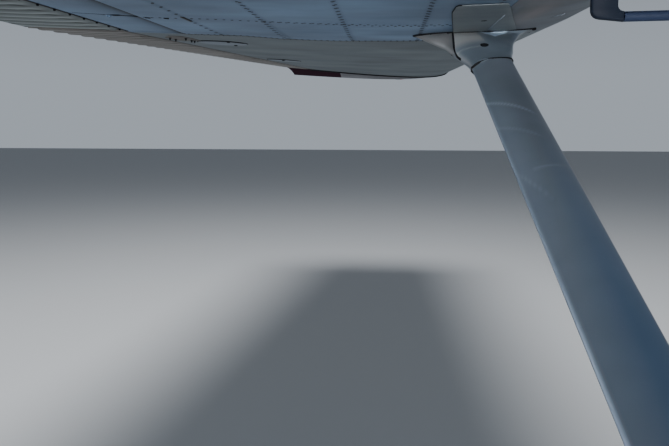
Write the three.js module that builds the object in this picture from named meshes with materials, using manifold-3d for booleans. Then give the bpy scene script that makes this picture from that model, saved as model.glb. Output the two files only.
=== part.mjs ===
// Left wing panel of a strut-braced high-wing light aircraft: skins, tip cap, beaded aileron and flap,
// lift strut with its fairing, and the pitot tube. Millimetres, +X forward, +Y outboard, +Z up.
// The origin is the middle of the end face of the front spar's root lug.

import * as THREE from "three";
import { mergeVertices } from "three/addons/utils/BufferGeometryUtils.js";
import Module from "manifold-3d";

const wasm = await Module();
wasm.setup();

// Span stations, from the end face of the root lugs
const ribY = 45;
const ribThickness = 20;
const breakY = 2000;
const skinJointY = 2140;
const tipRibY = 4718;
const tipEdgeY = 4934;
const centrelineToLug = 565;

// Planform and wing section
const rootChord = 1626;
const tipChord = 1130;
const unsweptLine = 0.2625;
const camber = 0.02;
const camberPeak = 0.4;
const thickness = 0.12;
const rootIncidence = 1.5;
const tipIncidence = -1.5;
const dihedral = 1.73;
const edgeHalf = 0.001;
const frontSpar = 0.17;
const rearSpar = 0.706;
const jointGap = 0.3;

// Flap: it turns about a line below the wing, on curved rails
const flapInY = 70;
const flapOutY = 1996;
const flapTravel = 40;
const flapNoseAft = 1325;
const flapNoseLength = 30;
const flapPivotUp = -130;
const railRadius = 150;
const railHalf = 8;
const railWidth = 8;
const railStations = [160, 900, 1645];
const railTipAngle = -49;
const railSeatAngle = 5.7;
const slotSide = 6;
const rollerRadius = 6;
const rollerAngle = -6.5;
const rollerGap = 0.4;
const bayWallAft = 1316;
const lowerLipAft = 1319;
const shroudEndAft = 1423;
const shroudRoot = 12;
const lipThickness = 3;
const flapGap = 7;

// Aileron: round nose about a hinge line at mid depth
const aileronInY = 2006;
const aileronOutY = 4708;
const aileronUp = 20;
const aileronDown = 15;
const hingeAt = [0.829, 0.848];
const noseGap = 7;
const wallGap = 12;
const hingeStations = [2204, 3423, 4591];
const bracketWidth = 8;
const bracketSide = 5;
const hingeEye = 13;
const hingePin = 5;
const pinGap = 0.3;

// Pressed beads on the flap and the aileron
const beadPitch = 75.7;
const beadDepth = 3;
const flapBeadY = 1983;
const aileronBeadY = 4682;

// Lift strut, from the wing's lower skin to the bolt at its foot
const strutTopX = -5;
const strutTopY = 1995;
const strutFoot = [118, 35, -1024];
const strutChord = 108;
const strutThickness = 46;
const strutWidest = 0.38;
const tubeStart = 60;
const cuffEnd = 250;
const cuffSeamX = -77.5;
const cuffSeam = 3;
const forkBase = 26;
const forkEar = 14;
const forkGap = 30;
const forkReach = 72;
const forkWidth = 50;
const boltRadius = 9.5;

const rad = THREE.MathUtils.degToRad;
const vec = (x, y, z) => new THREE.Vector3(x, y, z);
const breakSection = { chord: rootChord, tilt: rad(rootIncidence), hingeAt: hingeAt[0] };
const tipSection = { chord: tipChord, tilt: rad(tipIncidence), hingeAt: hingeAt[1] };

const paint = { color: 0x9aa3aa, roughness: 0.32, metalness: 0.0 };
const finishes = {
  paint,
  beadedPaint: { color: 0x9c9e9b, roughness: 0.4, metalness: 0.0 },
  redPaint: { color: 0x43181d, roughness: 0.35, metalness: 0.0 },
  alloy: { color: 0x8f9498, roughness: 0.45, metalness: 0.9 },
  steel: { color: 0x70757a, roughness: 0.4, metalness: 0.9 },
  darkMetal: { color: 0x24272b, roughness: 0.45, metalness: 0.4 },
  redLens: { color: 0xb01818, roughness: 0.1, metalness: 0.0 },
};

const wing = new THREE.Group();

function add(name, geometry, finish) {
  const mesh = new THREE.Mesh(geometry, new THREE.MeshStandardMaterial(finishes[finish]));
  mesh.name = name;
  wing.add(mesh);
  return mesh;
}

// Closed solids and boolean cuts

function signedVolume(points, index) {
  let sum = 0;
  for (let i = 0; i < index.length; i += 3) {
    const [a, b, c] = [points[index[i]], points[index[i + 1]], points[index[i + 2]]];
    sum += a.dot(b.clone().cross(c));
  }
  return sum;
}

function capTriangles(ring, first) {
  const normal = vec(0, 0, 0);
  ring.forEach((p, i) => normal.add(p.clone().cross(ring[(i + 1) % ring.length])));
  normal.normalize();
  const helper = Math.abs(normal.x) < 0.9 ? vec(1, 0, 0) : vec(0, 0, 1);
  const u = helper.sub(normal.clone().multiplyScalar(helper.dot(normal))).normalize();
  const v = normal.clone().cross(u);
  const flat = ring.map((p) => new THREE.Vector2(p.dot(u), p.dot(v)));
  return THREE.ShapeUtils.triangulateShape(flat, []).map((t) => t.map((k) => k + first));
}

// A solid through rings of equally many points, closed flat at both ends
function loft(rings) {
  const size = rings[0].length;
  const points = rings.flat();
  const index = [];
  for (let i = 0; i < rings.length - 1; i++) {
    for (let j = 0; j < size; j++) {
      const a = i * size + j;
      const b = i * size + ((j + 1) % size);
      index.push(a, b, a + size, b, b + size, a + size);
    }
  }
  const last = (rings.length - 1) * size;
  capTriangles(rings[0], 0).forEach(([a, b, c]) => index.push(a, c, b));
  capTriangles(rings[rings.length - 1], last).forEach((t) => index.push(...t));
  if (signedVolume(points, index) < 0) index.reverse();
  const geometry = new THREE.BufferGeometry().setFromPoints(points);
  geometry.setIndex(index);
  geometry.computeVertexNormals();
  return geometry;
}

function solidOf(geometry) {
  const bare = geometry.clone();
  bare.deleteAttribute("normal");
  bare.deleteAttribute("uv");
  const merged = mergeVertices(bare, 1e-3);
  const triVerts = new Uint32Array(merged.index.array);
  return new wasm.Manifold(
    new wasm.Mesh({ numProp: 3, vertProperties: merged.attributes.position.array, triVerts }),
  );
}

function geometryOf(solid) {
  const mesh = solid.getMesh();
  const geometry = new THREE.BufferGeometry();
  geometry.setAttribute("position", new THREE.BufferAttribute(mesh.vertProperties, 3));
  geometry.setIndex(new THREE.BufferAttribute(mesh.triVerts, 1));
  geometry.computeVertexNormals();
  return geometry;
}

function cut(geometry, ...tools) {
  return geometryOf(tools.reduce((left, tool) => left.subtract(solidOf(tool)), solidOf(geometry)));
}

function join(...pieces) {
  return geometryOf(pieces.map(solidOf).reduce((all, piece) => all.add(piece)));
}

function box(x, y, z) {
  const size = [x[1] - x[0], y[1] - y[0], z[1] - z[0]];
  const centre = [(x[0] + x[1]) / 2, (y[0] + y[1]) / 2, (z[0] + z[1]) / 2];
  return new THREE.BoxGeometry(...size).translate(...centre);
}

// The wing section, in shares of the chord, and its place in space

function halfThickness(t) {
  const poly = 0.2969 * Math.sqrt(t) - 0.126 * t - 0.3516 * t ** 2 + 0.2843 * t ** 3 - 0.1036 * t ** 4;
  return 5 * thickness * poly + edgeHalf * t;
}

function camberLine(t) {
  const front = (camber / camberPeak ** 2) * (2 * camberPeak * t - t * t);
  const rear = (camber / (1 - camberPeak) ** 2) * (1 - 2 * camberPeak + 2 * camberPeak * t - t * t);
  return t < camberPeak ? front : rear;
}

const surface = (t, side) => camberLine(t) + side * halfThickness(t);

// A point given aft of the leading edge and up from the chord line, still without its station
function turned(section, [aft, up]) {
  const x = unsweptLine * section.chord - aft;
  const [s, c] = [Math.sin(section.tilt), Math.cos(section.tilt)];
  return [x * c - up * s, x * s + up * c];
}

const sparMiddle = turned(breakSection, [
  frontSpar * rootChord,
  rootChord * camberLine(frontSpar),
]);
const dihedralRise = (y) => (y + centrelineToLug) * Math.tan(rad(dihedral));
const sparHeight = sparMiddle[1] + dihedralRise(ribY);

// The outline at a station. Outboard of the break each point runs straight to the tip rib's section.
function ringAt(y, outline) {
  const share = Math.max(0, (y - breakY) / (tipRibY - breakY));
  const outer = outline(tipSection);
  return outline(breakSection).map((point, i) => {
    const a = turned(breakSection, point);
    const b = turned(tipSection, outer[i]);
    const x = a[0] + (b[0] - a[0]) * share - sparMiddle[0];
    const z = a[1] + (b[1] - a[1]) * share + dihedralRise(y) - sparHeight;
    return vec(x, y, z);
  });
}

const span = (outline, ...stations) => loft(stations.map((y) => ringAt(y, outline)));
const pointAt = (y, locate) => ringAt(y, (section) => [locate(section)])[0];

// Points along the upper (side 1) or lower (side -1) skin, aft distances in shares of the chord
function skin(section, side, from, to, steps) {
  return Array.from({ length: steps + 1 }, (_, i) => {
    const t = from + ((to - from) * i) / steps;
    return [t * section.chord, section.chord * surface(t, side)];
  });
}

const skinHeight = (section, side, aft) => section.chord * surface(aft / section.chord, side);

// Skin panels

const skinGap = 0.35;
const innerStations = [ribY + ribThickness + jointGap, breakY];
const outerStations = [3000, 3860, tipRibY];
const noseSteps = 8;

// The joint of the skins runs straight ahead of the first point, slants inboard, and is straight again
const skinJoint = [
  { at: 0.44, y: 2152 },
  { at: 0.535, y: 2118 },
  { at: 0.6, y: 2042 },
];

function jointStation(at) {
  const next = skinJoint.findIndex((point) => point.at > at);
  if (next <= 0) return skinJoint.at(next).y;
  const [a, b] = [skinJoint[next - 1], skinJoint[next]];
  return a.y + ((b.y - a.y) * (at - a.at)) / (b.at - a.at);
}

function jointRing(outline, offset) {
  return outline(breakSection).map(([aft], i) =>
    ringAt(jointStation(aft / rootChord) + offset, outline)[i],
  );
}

const innerPanel = (outline) =>
  loft([...innerStations.map((y) => ringAt(y, outline)), jointRing(outline, 0)]);
const outerPanel = (outline) =>
  loft([jointRing(outline, jointGap), ...outerStations.map((y) => ringAt(y, outline))]);

function noseOutline(section) {
  const at = (i, side) => {
    const t = frontSpar * (i / noseSteps) ** 2;
    return [t * section.chord, section.chord * surface(t, side)];
  };
  const upper = Array.from({ length: noseSteps + 1 }, (_, i) => at(noseSteps - i, 1));
  const lower = Array.from({ length: noseSteps }, (_, i) => at(i + 1, -1));
  return [...upper, ...lower];
}

function boxOutline(section) {
  const gap = jointGap / section.chord;
  return [
    ...skin(section, 1, frontSpar + gap, rearSpar, 7),
    ...skin(section, -1, rearSpar, frontSpar + gap, 5),
  ];
}

function flapBayOutline(section) {
  const start = rearSpar + jointGap / section.chord;
  const shroudMid = (bayWallAft + shroudEndAft) / 2;
  return [
    ...skin(section, 1, start, shroudEndAft / section.chord, 5),
    [shroudEndAft, skinHeight(section, 1, shroudEndAft) - lipThickness],
    [shroudMid, skinHeight(section, 1, shroudMid) - (shroudRoot + lipThickness) / 2],
    [bayWallAft, skinHeight(section, 1, bayWallAft) - shroudRoot],
    [bayWallAft, skinHeight(section, -1, bayWallAft) + lipThickness],
    [lowerLipAft, skinHeight(section, -1, lowerLipAft) + lipThickness],
    ...skin(section, -1, lowerLipAft / section.chord, start, 3),
  ];
}

function hingeOf(section) {
  const aft = section.hingeAt * section.chord;
  const [top, bottom] = [skinHeight(section, 1, aft), skinHeight(section, -1, aft)];
  return { aft, up: (top + bottom) / 2, radius: (top - bottom) / 2 };
}

function aileronBayOutline(section) {
  const hinge = hingeOf(section);
  const start = rearSpar + jointGap / section.chord;
  const wall = hinge.aft - hinge.radius - wallGap;
  const lip = hinge.aft - Math.sqrt((hinge.radius + noseGap) ** 2 - hinge.radius ** 2);
  return [
    ...skin(section, 1, start, lip / section.chord, 4),
    [lip, skinHeight(section, 1, lip) - lipThickness],
    [wall, skinHeight(section, 1, wall) - lipThickness],
    [wall, skinHeight(section, -1, wall) + lipThickness],
    [lip, skinHeight(section, -1, lip) + lipThickness],
    ...skin(section, -1, lip / section.chord, start, 3),
  ];
}

// An arc band about the flap's turning line; angles in degrees, positive aft of the line
function railBand(inner, outer, from, to, steps = 8) {
  const at = (radius, degrees) => [
    flapNoseAft + radius * Math.sin(rad(degrees)),
    flapPivotUp + radius * Math.cos(rad(degrees)),
  ];
  const angles = Array.from({ length: steps + 1 }, (_, i) => from + ((to - from) * i) / steps);
  return [...angles.map((a) => at(outer, a)), ...angles.toReversed().map((a) => at(inner, a))];
}

function railSlots(y) {
  const half = railWidth / 2 + slotSide;
  const clear = railHalf + slotSide;
  const rollerRoom = railHalf + rollerGap + 2 * rollerRadius + 2;
  const run = railBand(railRadius - clear, railRadius + clear, railTipAngle - 8, 4, 14);
  const room = railBand(
    railRadius - rollerRoom,
    railRadius + rollerRoom,
    rollerAngle - 5,
    rollerAngle + 9,
  );
  return [span(() => run, y - half, y + half), span(() => room, y - half, y + half)];
}

// The lower skins in one, a little low: this trims what sits against them
function lowerSkins() {
  const outline = (section) => {
    const [upper, lower] = [boxOutline(section).slice(0, 8), boxOutline(section).slice(8)];
    const bay = aileronBayOutline(section).slice(9);
    return [...upper, ...bay, ...lower, ...noseOutline(section).toReversed()];
  };
  return span(outline, ...innerStations, skinJointY, ...outerStations).translate(0, 0, -skinGap);
}

function addSkins() {
  add("nose_skin_inboard", innerPanel(noseOutline), "paint");
  add("nose_skin_outboard", outerPanel(noseOutline), "paint");
  add("centre_box_inboard", cut(innerPanel(boxOutline), fuelPocket()), "paint");
  add("centre_box_outboard", outerPanel(boxOutline), "paint");
  const flapBay = span(flapBayOutline, innerStations[0], breakY - jointGap);
  add("flap_bay", cut(flapBay, ...railStations.flatMap(railSlots)), "paint");
  add("aileron_bay", span(aileronBayOutline, breakY, skinJointY, ...outerStations), "paint");
}

// Root rib with pressed lightening holes, and the two spar lugs

function ribOutline(section) {
  const lower = noseOutline(section).slice(noseSteps + 1);
  return [
    ...skin(section, 1, lowerLipAft / section.chord, frontSpar, 7).slice(0, -1),
    ...noseOutline(section).slice(0, noseSteps + 1),
    ...lower.slice(0, -1),
    ...skin(section, -1, frontSpar, lowerLipAft / section.chord, 7),
  ];
}

const circle = (centre, radius, steps = 20) =>
  Array.from({ length: steps }, (_, i) => {
    const angle = (2 * Math.PI * i) / steps;
    return [centre[0] + radius * Math.cos(angle), centre[1] + radius * Math.sin(angle)];
  });

// Chord share of each hole's middle and its radius
const lighteningHoles = [
  { at: 0.09, radius: 38 },
  { at: 0.29, radius: 58 },
  { at: 0.4, radius: 58 },
  { at: 0.51, radius: 54 },
  { at: 0.61, radius: 44 },
  { at: 0.765, radius: 24 },
];

function addRootRib() {
  const holes = lighteningHoles.map(({ at, radius }) => {
    const centre = [at * rootChord, rootChord * camberLine(at)];
    return span(() => circle(centre, radius), ribY - 1, ribY + ribThickness - 5);
  });
  add("root_rib", cut(span(ribOutline, ribY, ribY + ribThickness), ...holes), "alloy");
}

function rootLug(at, height) {
  const middle = pointAt(ribY, (s) => [at * s.chord, s.chord * camberLine(at)]);
  const [x, z] = [middle.x, middle.z];
  const tongue = box([x - 9, x + 9], [0, ribY - 6], [z - height / 2, z + height / 2]);
  const flange = box([x - 24, x + 24], [ribY - 8, ribY - jointGap], [z - height * 0.8, z + height * 0.8]);
  const hole = new THREE.CylinderGeometry(boltRadius, boltRadius, 40, 20)
    .rotateZ(Math.PI / 2)
    .translate(x, 19, z);
  return cut(join(tongue, flange), hole);
}

// Flap and aileron with pressed beads: sections are lifted and lowered in turn, every half pitch

function beadStations(from, to, beadY) {
  const half = beadPitch / 2;
  const first = Math.ceil((from - beadY) / half + 0.1);
  const last = Math.floor((to - beadY) / half - 0.1);
  const even = Array.from({ length: last - first + 1 }, (_, i) => beadY + (first + i) * half);
  return [from, ...even, to];
}

function beadLift(y, beadY) {
  const phase = Math.abs((y - beadY) / beadPitch) % 1;
  return beadDepth * (4 * Math.abs(phase - 0.5) - 1);
}

function beaded(outline, from, to, beadY) {
  const lifted = beadStations(from, to, beadY).map((y) =>
    ringAt(y, (section) => outline(section, beadLift(y, beadY))),
  );
  return loft(lifted);
}

function flapOutline(section, bead) {
  const chord = section.chord;
  const noseMid = flapNoseAft + flapNoseLength;
  const bottom = skinHeight(section, -1, noseMid);
  const shroudUnder = (aft) => {
    const share = (aft - bayWallAft) / (shroudEndAft - bayWallAft);
    return skinHeight(section, 1, aft) - shroudRoot + (shroudRoot - lipThickness) * share;
  };
  const top = shroudUnder(noseMid) - flapGap;
  const step = shroudEndAft + flapGap;
  const nose = Array.from({ length: 7 }, (_, i) => {
    const angle = Math.PI / 2 + (Math.PI * i) / 6;
    const up = (top + bottom) / 2 + ((top - bottom) / 2) * Math.sin(angle);
    return [noseMid + flapNoseLength * Math.cos(angle), up];
  });
  const lift = ([aft, up]) => [aft, up + bead];
  return [
    ...nose,
    ...[0.865, 0.96].map((t) => lift([t * chord, chord * surface(t, -1)])),
    [chord, chord * surface(1, -1)],
    [chord, chord * surface(1, 1)],
    lift([0.96 * chord, chord * surface(0.96, 1)]),
    lift([step + 20, skinHeight(section, 1, step + 20)]),
    [step, skinHeight(section, 1, step) - 1],
    [step, shroudUnder(shroudEndAft) - flapGap],
  ];
}

function aileronOutline(section, bead) {
  const chord = section.chord;
  const { aft, up, radius } = hingeOf(section);
  const nose = Array.from({ length: 9 }, (_, i) => {
    const angle = Math.PI / 2 + (Math.PI * i) / 8;
    return [aft + radius * Math.cos(angle), up + radius * Math.sin(angle)];
  });
  const rest = (share) => section.hingeAt + (1 - section.hingeAt) * share;
  const lift = (t, side) => [t * chord, chord * surface(t, side) + bead];
  return [
    ...nose,
    ...[0.2, 0.6, 1].map((share) => lift(rest(share), -1)),
    ...[1, 0.6, 0.2].map((share) => lift(rest(share), 1)),
  ];
}

function railSeat(y) {
  const gap = jointGap;
  const band = railBand(
    railRadius - railHalf - gap,
    railRadius + railHalf + gap,
    -4,
    railSeatAngle + 0.3,
    4,
  );
  return span(() => band, y - railWidth / 2 - gap, y + railWidth / 2 + gap);
}

function addFlap() {
  const body = beaded(flapOutline, flapInY, flapOutY, flapBeadY);
  add("flap", cut(body, ...railStations.map(railSeat)), "beadedPaint");
  const band = railBand(railRadius - railHalf, railRadius + railHalf, railTipAngle, railSeatAngle, 14);
  const roller = (radius) => {
    const centre = [
      flapNoseAft + radius * Math.sin(rad(rollerAngle)),
      flapPivotUp + radius * Math.cos(rad(rollerAngle)),
    ];
    return circle(centre, rollerRadius, 14);
  };
  const reach = railHalf + rollerGap + rollerRadius;
  const rollerHalf = railWidth / 2 + slotSide - jointGap;
  railStations.forEach((y, i) => {
    const number = i + 1;
    add(`flap_rail_${number}`, span(() => band, y - railWidth / 2, y + railWidth / 2), "alloy");
    [["lower", -reach], ["upper", reach]].forEach(([side, offset]) => {
      const outline = roller(railRadius + offset);
      add(`flap_roller_${side}_${number}`, span(() => outline, y - rollerHalf, y + rollerHalf), "steel");
    });
  });
}

const aboutHinge = (points) => (section) => {
  const { aft, up } = hingeOf(section);
  return points.map(([x, z]) => [aft + x, up + z]);
};

function bracketOutline(section) {
  const { aft, up, radius } = hingeOf(section);
  const wall = aft - radius - wallGap + jointGap;
  const foot = radius * 0.7;
  const eye = Array.from({ length: 9 }, (_, i) => {
    const angle = -Math.PI / 2 + (Math.PI * i) / 8;
    return [aft + hingeEye * Math.cos(angle), up + hingeEye * Math.sin(angle)];
  });
  return [[wall, up - foot], [wall + 5, up - foot], ...eye, [wall + 5, up + foot], [wall, up + foot]];
}

function addAileron() {
  const notchHalf = bracketWidth / 2 + bracketSide;
  const notchDepth = hingeEye + bracketSide + 1;
  const notchShape = aboutHinge([[-90, -90], [notchDepth, -90], [notchDepth, 90], [-90, 90]]);
  const notch = (y) => span(notchShape, y - notchHalf, y + notchHalf);
  const body = beaded(aileronOutline, aileronInY, aileronOutY, aileronBeadY);
  add("aileron", cut(body, ...hingeStations.map(notch)), "beadedPaint");
  const bore = aboutHinge(circle([0, 0], hingePin + pinGap, 16));
  const pin = aboutHinge(circle([0, 0], hingePin, 16));
  hingeStations.forEach((y, i) => {
    const half = bracketWidth / 2;
    const plate = cut(span(bracketOutline, y - half, y + half), span(bore, y - 2 * half, y + 2 * half));
    add(`aileron_bracket_${i + 1}`, plate, "alloy");
    const reach = notchHalf - jointGap;
    add(`aileron_hinge_pin_${i + 1}`, span(pin, y - reach, y + reach), "steel");
  });
}

// Drooped tip cap with its edge lower towards the trailing edge, and the position light on it

const tipLeadingTrim = 0.094;
const tipTrailingTrim = 0.03;
const tipDroop = 42;
const tipEdgeThickness = 4;
const tipShares = [0, 0.3, 0.55, 0.75, 0.88, 0.96, 1];

function tipRing(share) {
  const chord = tipChord;
  const start = tipLeadingTrim * (1 - Math.sqrt(1 - (0.995 * share) ** 2));
  const end = 1 - tipTrailingTrim * share;
  const fullness = Math.sqrt(1 - share * share);
  const y = tipRibY + jointGap + share * (tipEdgeY - tipRibY);
  const low = (u) => chord * surface(u, -1) - tipDroop * u * share ** 2;
  const high = (u) => {
    const depth = chord * (surface(u, 1) - surface(u, -1));
    return low(u) + depth * fullness + tipEdgeThickness * share * Math.min(1, u * 12);
  };
  const steps = 12;
  const shares = Array.from({ length: steps + 1 }, (_, i) => (i / steps) ** 1.7);
  const aft = (u) => (start + (end - start) * u) * chord;
  const outline = [
    ...shares.toReversed().map((u) => [aft(u), high(u)]),
    ...shares.slice(1).map((u) => [aft(u), low(u)]),
  ];
  return outline.map((point) => {
    const [x, z] = turned(tipSection, point);
    return vec(x - sparMiddle[0], y, z + dihedralRise(y) - sparHeight);
  });
}

function lampProfile(radius, length, grow) {
  const points = Array.from({ length: 7 }, (_, i) => {
    const angle = (Math.PI / 2) * (i / 6);
    return new THREE.Vector2((radius + grow) * Math.sin(angle), -(length + grow) * Math.cos(angle));
  });
  return [...points, new THREE.Vector2(0, 0)];
}

// A half body of revolution along X, its round end forward (direction 1) or aft (-1)
function halfBody(radius, length, direction, centre, grow = 0) {
  return new THREE.LatheGeometry(lampProfile(radius, length, grow), 16)
    .rotateZ(direction * (Math.PI / 2))
    .translate(...centre);
}

function addTip() {
  const edge = tipRing(1)[17];
  const centre = [edge.x, tipEdgeY - 6, edge.z + 14];
  const lens = halfBody(17, 48, 1, centre);
  const base = halfBody(17, 80, -1, [centre[0] - jointGap, centre[1], centre[2]]);
  const pocket = [
    halfBody(17, 48, 1, [centre[0] - 1, centre[1], centre[2]], jointGap + 1),
    halfBody(17, 80, -1, centre, jointGap + 0.2),
  ];
  add("tip_cap", cut(loft(tipShares.map(tipRing)), ...pocket), "paint");
  add("position_light_lens", lens, "redLens");
  add("position_light_base", base, "paint");
}

// Lift strut: streamlined tube between the fairing and the foot fork

const lowerSkinAt = (y, x) => {
  const aft = unsweptLine * rootChord - sparMiddle[0] - x;
  return pointAt(y, (s) => [aft, skinHeight(s, -1, aft)]);
};
const strutTop = vec(strutTopX, strutTopY, lowerSkinAt(strutTopY, strutTopX).z);
const strutEnd = vec(...strutFoot);
const along = strutEnd.clone().sub(strutTop).normalize();
const strutLength = strutEnd.distanceTo(strutTop);
const ahead = vec(1, 0, 0).addScaledVector(along, -along.x).normalize();
const above = ahead.clone().cross(along).multiplyScalar(-1).normalize();

const onStrut = (distance, x, up) =>
  strutTop.clone().addScaledVector(along, distance).addScaledVector(ahead, x).addScaledVector(above, up);

// Half depth of the streamlined tube at a share of its chord: an ellipse ahead, a parabola behind
function tubeDepth(share) {
  const front = Math.sqrt(Math.max(0, 1 - ((strutWidest - share) / strutWidest) ** 2));
  const rear = 1 - ((share - strutWidest) / (1 - strutWidest)) ** 2;
  return (strutThickness / 2) * (share < strutWidest ? front : rear);
}

function tubeRing(distance, inset = 0) {
  const steps = 10;
  const shares = Array.from({ length: steps + 1 }, (_, i) => (1 - Math.cos((Math.PI * i) / steps)) / 2);
  const scale = 1 - (2 * inset) / strutChord;
  const depth = 1 - (2 * inset) / strutThickness;
  const at = (share, side) =>
    onStrut(distance, (strutChord / 2 - share * strutChord) * scale, side * tubeDepth(share) * depth);
  const tail = 1.2;
  const upper = shares.slice(1).map((s) => at(s, 1));
  const lower = shares.slice(1).toReversed().map((s) => at(s, -1));
  upper[upper.length - 1] = onStrut(distance, (-strutChord / 2) * scale, tail);
  lower[0] = onStrut(distance, (-strutChord / 2) * scale, -tail);
  return [onStrut(distance, (strutChord / 2) * scale, 0), ...upper, ...lower];
}

// Distance down the strut, reach ahead, behind, above and below its line, turn from the skin's plane
// to the strut's, how pointed the ends are, how much wider the rear half is, and the ring's slant
const cuffColumns = ["down", "front", "aft", "rise", "drop", "turn", "point", "lean", "slant"];
const cuffTable = [
  [-60, 182, 186, 80, 60, 0, 1.5, 0.35, 0],
  [-22, 178, 186, 80, 60, 0, 1.5, 0.35, 0],
  [-8, 135, 186, 80, 60, 0, 1.5, 0.35, 0],
  [0, 122, 186, 80, 60, 0, 1.5, 0.35, 0],
  [22, 110, 174, 60, 54, 0.1, 1.4, 0.3, 0],
  [55, 97, 148, 46, 44, 0.32, 1.2, 0.2, 0],
  [100, 82, 106, 38, 36, 0.62, 1.1, 0.1, 0],
  [150, 70, 88, 33, 31, 0.85, 1, 0, 3],
  [185, 64, 74, 31, 29, 0.95, 1, 0, 6],
  [cuffEnd, 57, 60, 27, 26, 1, 1, 0, 10],
];
const cuffRings = cuffTable.map((row) => Object.fromEntries(cuffColumns.map((name, i) => [name, row[i]])));

function cuffRing({ down, front, aft, rise, drop, turn, point, lean, slant }, grow = 0) {
  const steps = 24;
  const level = vec(0, -1, Math.tan(rad(-dihedral))).normalize();
  const side = level.clone().lerp(above, turn).normalize();
  const nose = vec(1, 0, 0).lerp(ahead, turn).normalize();
  const centre = down < 0
    ? strutTop.clone().add(vec(0, 0, -down))
    : strutTop.clone().addScaledVector(along, down);
  return Array.from({ length: steps }, (_, i) => {
    const angle = (2 * Math.PI * i) / steps;
    const [c, s] = [Math.cos(angle), Math.sin(angle)];
    const width = (s > 0 ? rise + grow : -drop - grow) * Math.abs(s) ** point * (1 - lean * c);
    return centre
      .clone()
      .addScaledVector(nose, ((c > 0 ? front : aft) + grow) * c)
      .addScaledVector(side, width)
      .addScaledVector(along, -slant * c);
  });
}

const cuffSolid = (grow) => loft(cuffRings.map((ring) => cuffRing(ring, grow)));

function addStrut() {
  const tube = loft([tubeRing(tubeStart), tubeRing(strutLength - forkReach - forkBase)]);
  const tubeRoom = loft([tubeRing(tubeStart - 0.4, -0.4), tubeRing(cuffEnd + 40, -0.4)]);
  const whole = cut(cuffSolid(0), lowerSkins(), tubeRoom, fairingHole());
  const seam = cuffSeamX - cuffSeam / 2;
  const [far, tall] = [4000, 800];
  const behind = box([-1000, seam + cuffSeam], [0, far], [-tall, tall]);
  const before = box([seam, 1000], [0, far], [-tall, tall]);
  add("strut_tube", tube, "paint");
  add("strut_cuff", cut(whole, behind), "paint");
  add("strut_cuff_tail", cut(whole, before), "paint");
}

// Round access hole in the cuff's inboard face
function fairingHole() {
  const direction = above.clone();
  const turn = new THREE.Quaternion().setFromUnitVectors(vec(0, 1, 0), direction);
  const centre = onStrut(172, -14, 30);
  return new THREE.CylinderGeometry(10, 10, 20, 16).applyQuaternion(turn).translate(...centre.toArray());
}

// Foot fork: a streamlined base against the tube, and two ears for one bolt along the chord
function addFork() {
  const start = strutLength - forkReach - forkBase;
  const base = loft([tubeRing(start + jointGap, 3), tubeRing(start + forkBase, 6)]);
  const ear = (from, to) => {
    const steps = 8;
    const tip = Array.from({ length: steps + 1 }, (_, i) => {
      const angle = -Math.PI / 2 + (Math.PI * i) / steps;
      return [strutLength + (forkWidth / 2) * Math.cos(angle), (forkWidth / 2) * Math.sin(angle)];
    });
    const near = start + forkBase - 8;
    const side = [[near, -forkWidth / 2 + 9], ...tip, [near, forkWidth / 2 - 9]];
    return loft([from, to].map((x) => side.map(([down, up]) => onStrut(down, x, up))));
  };
  const inner = forkGap / 2;
  const bolt = loft([-60, 60].map((x) =>
    circle([strutLength, 0], boltRadius).map(([down, up]) => onStrut(down, x, up))));
  const ears = [ear(inner, inner + forkEar), ear(-inner - forkEar, -inner)];
  add("strut_foot_fork", cut(join(base, ...ears), bolt), "steel");
}

// Smooth doubler plate on the lower skin, cut to fit round the fairing: chord shares of its two edges
const plateRings = [
  { y: 1439, front: 0.184, rear: 0.237 },
  { y: 1455, front: 0.177, rear: 0.2435 },
  { y: 1534, front: 0.166, rear: 0.2437 },
  { y: 1666, front: 0.149, rear: 0.2361 },
  { y: 1940, front: 0.113, rear: 0.219 },
];

function addPlate() {
  const sheet = ({ front, rear }) => (section) => {
    const line = (drop) => skin(section, -1, front, rear, 5).map(([aft, up]) => [aft, up - drop]);
    return [...line(-3), ...line(2).toReversed()];
  };
  const plate = loft(plateRings.map((ring) => ringAt(ring.y, sheet(ring))));
  add("strut_doubler_plate", cut(plate, cuffSolid(0.5), lowerSkins()), "paint");
}

// Small fittings on the skins

const onSkin = (y, at, side) => pointAt(y, (s) => [at * s.chord, s.chord * surface(at, side)]);

const fuelCapStation = { y: 330, at: 0.33 };

function fuelPocket() {
  const { y, at } = fuelCapStation;
  const top = onSkin(y, at, 1);
  return new THREE.CylinderGeometry(44, 44, 20, 28).rotateX(Math.PI / 2).translate(...top.toArray());
}

function addFuelCap() {
  const { y, at } = fuelCapStation;
  const top = onSkin(y, at, 1);
  const profile = [[0, -9.6], [43, -9.6], [43, 1], [38, 3.5], [0, 3.5]];
  const cap = new THREE.LatheGeometry(profile.map(([r, z]) => new THREE.Vector2(r, z)), 28);
  const lever = new THREE.BoxGeometry(46, 5, 12).translate(4, 5, 0);
  add("fuel_cap", join(cap, lever).rotateX(Math.PI / 2).translate(...top.toArray()), "alloy");
}

// Round covers over the aileron's bell crank and pulley, on the lower skin
const accessCovers = [
  { y: 2345, at: 0.7 },
  { y: 3423, at: 0.73 },
];
const coverRadius = 84;

function addCovers() {
  accessCovers.forEach(({ y, at }, i) => {
    const middle = onSkin(y, at, -1);
    const along = onSkin(y + 60, at, -1).sub(onSkin(y - 60, at, -1));
    const across = onSkin(y, at - 0.04, -1).sub(onSkin(y, at + 0.04, -1));
    const down = across.cross(along).normalize().multiplyScalar(-1);
    const turn = new THREE.Quaternion().setFromUnitVectors(vec(0, 1, 0), down);
    const disc = new THREE.CylinderGeometry(coverRadius, coverRadius, 8, 32)
      .translate(0, -1.6, 0)
      .applyQuaternion(turn)
      .translate(...middle.toArray());
    add(`access_cover_${i + 1}`, cut(disc, lowerSkins()), "paint");
  });
}

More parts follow.
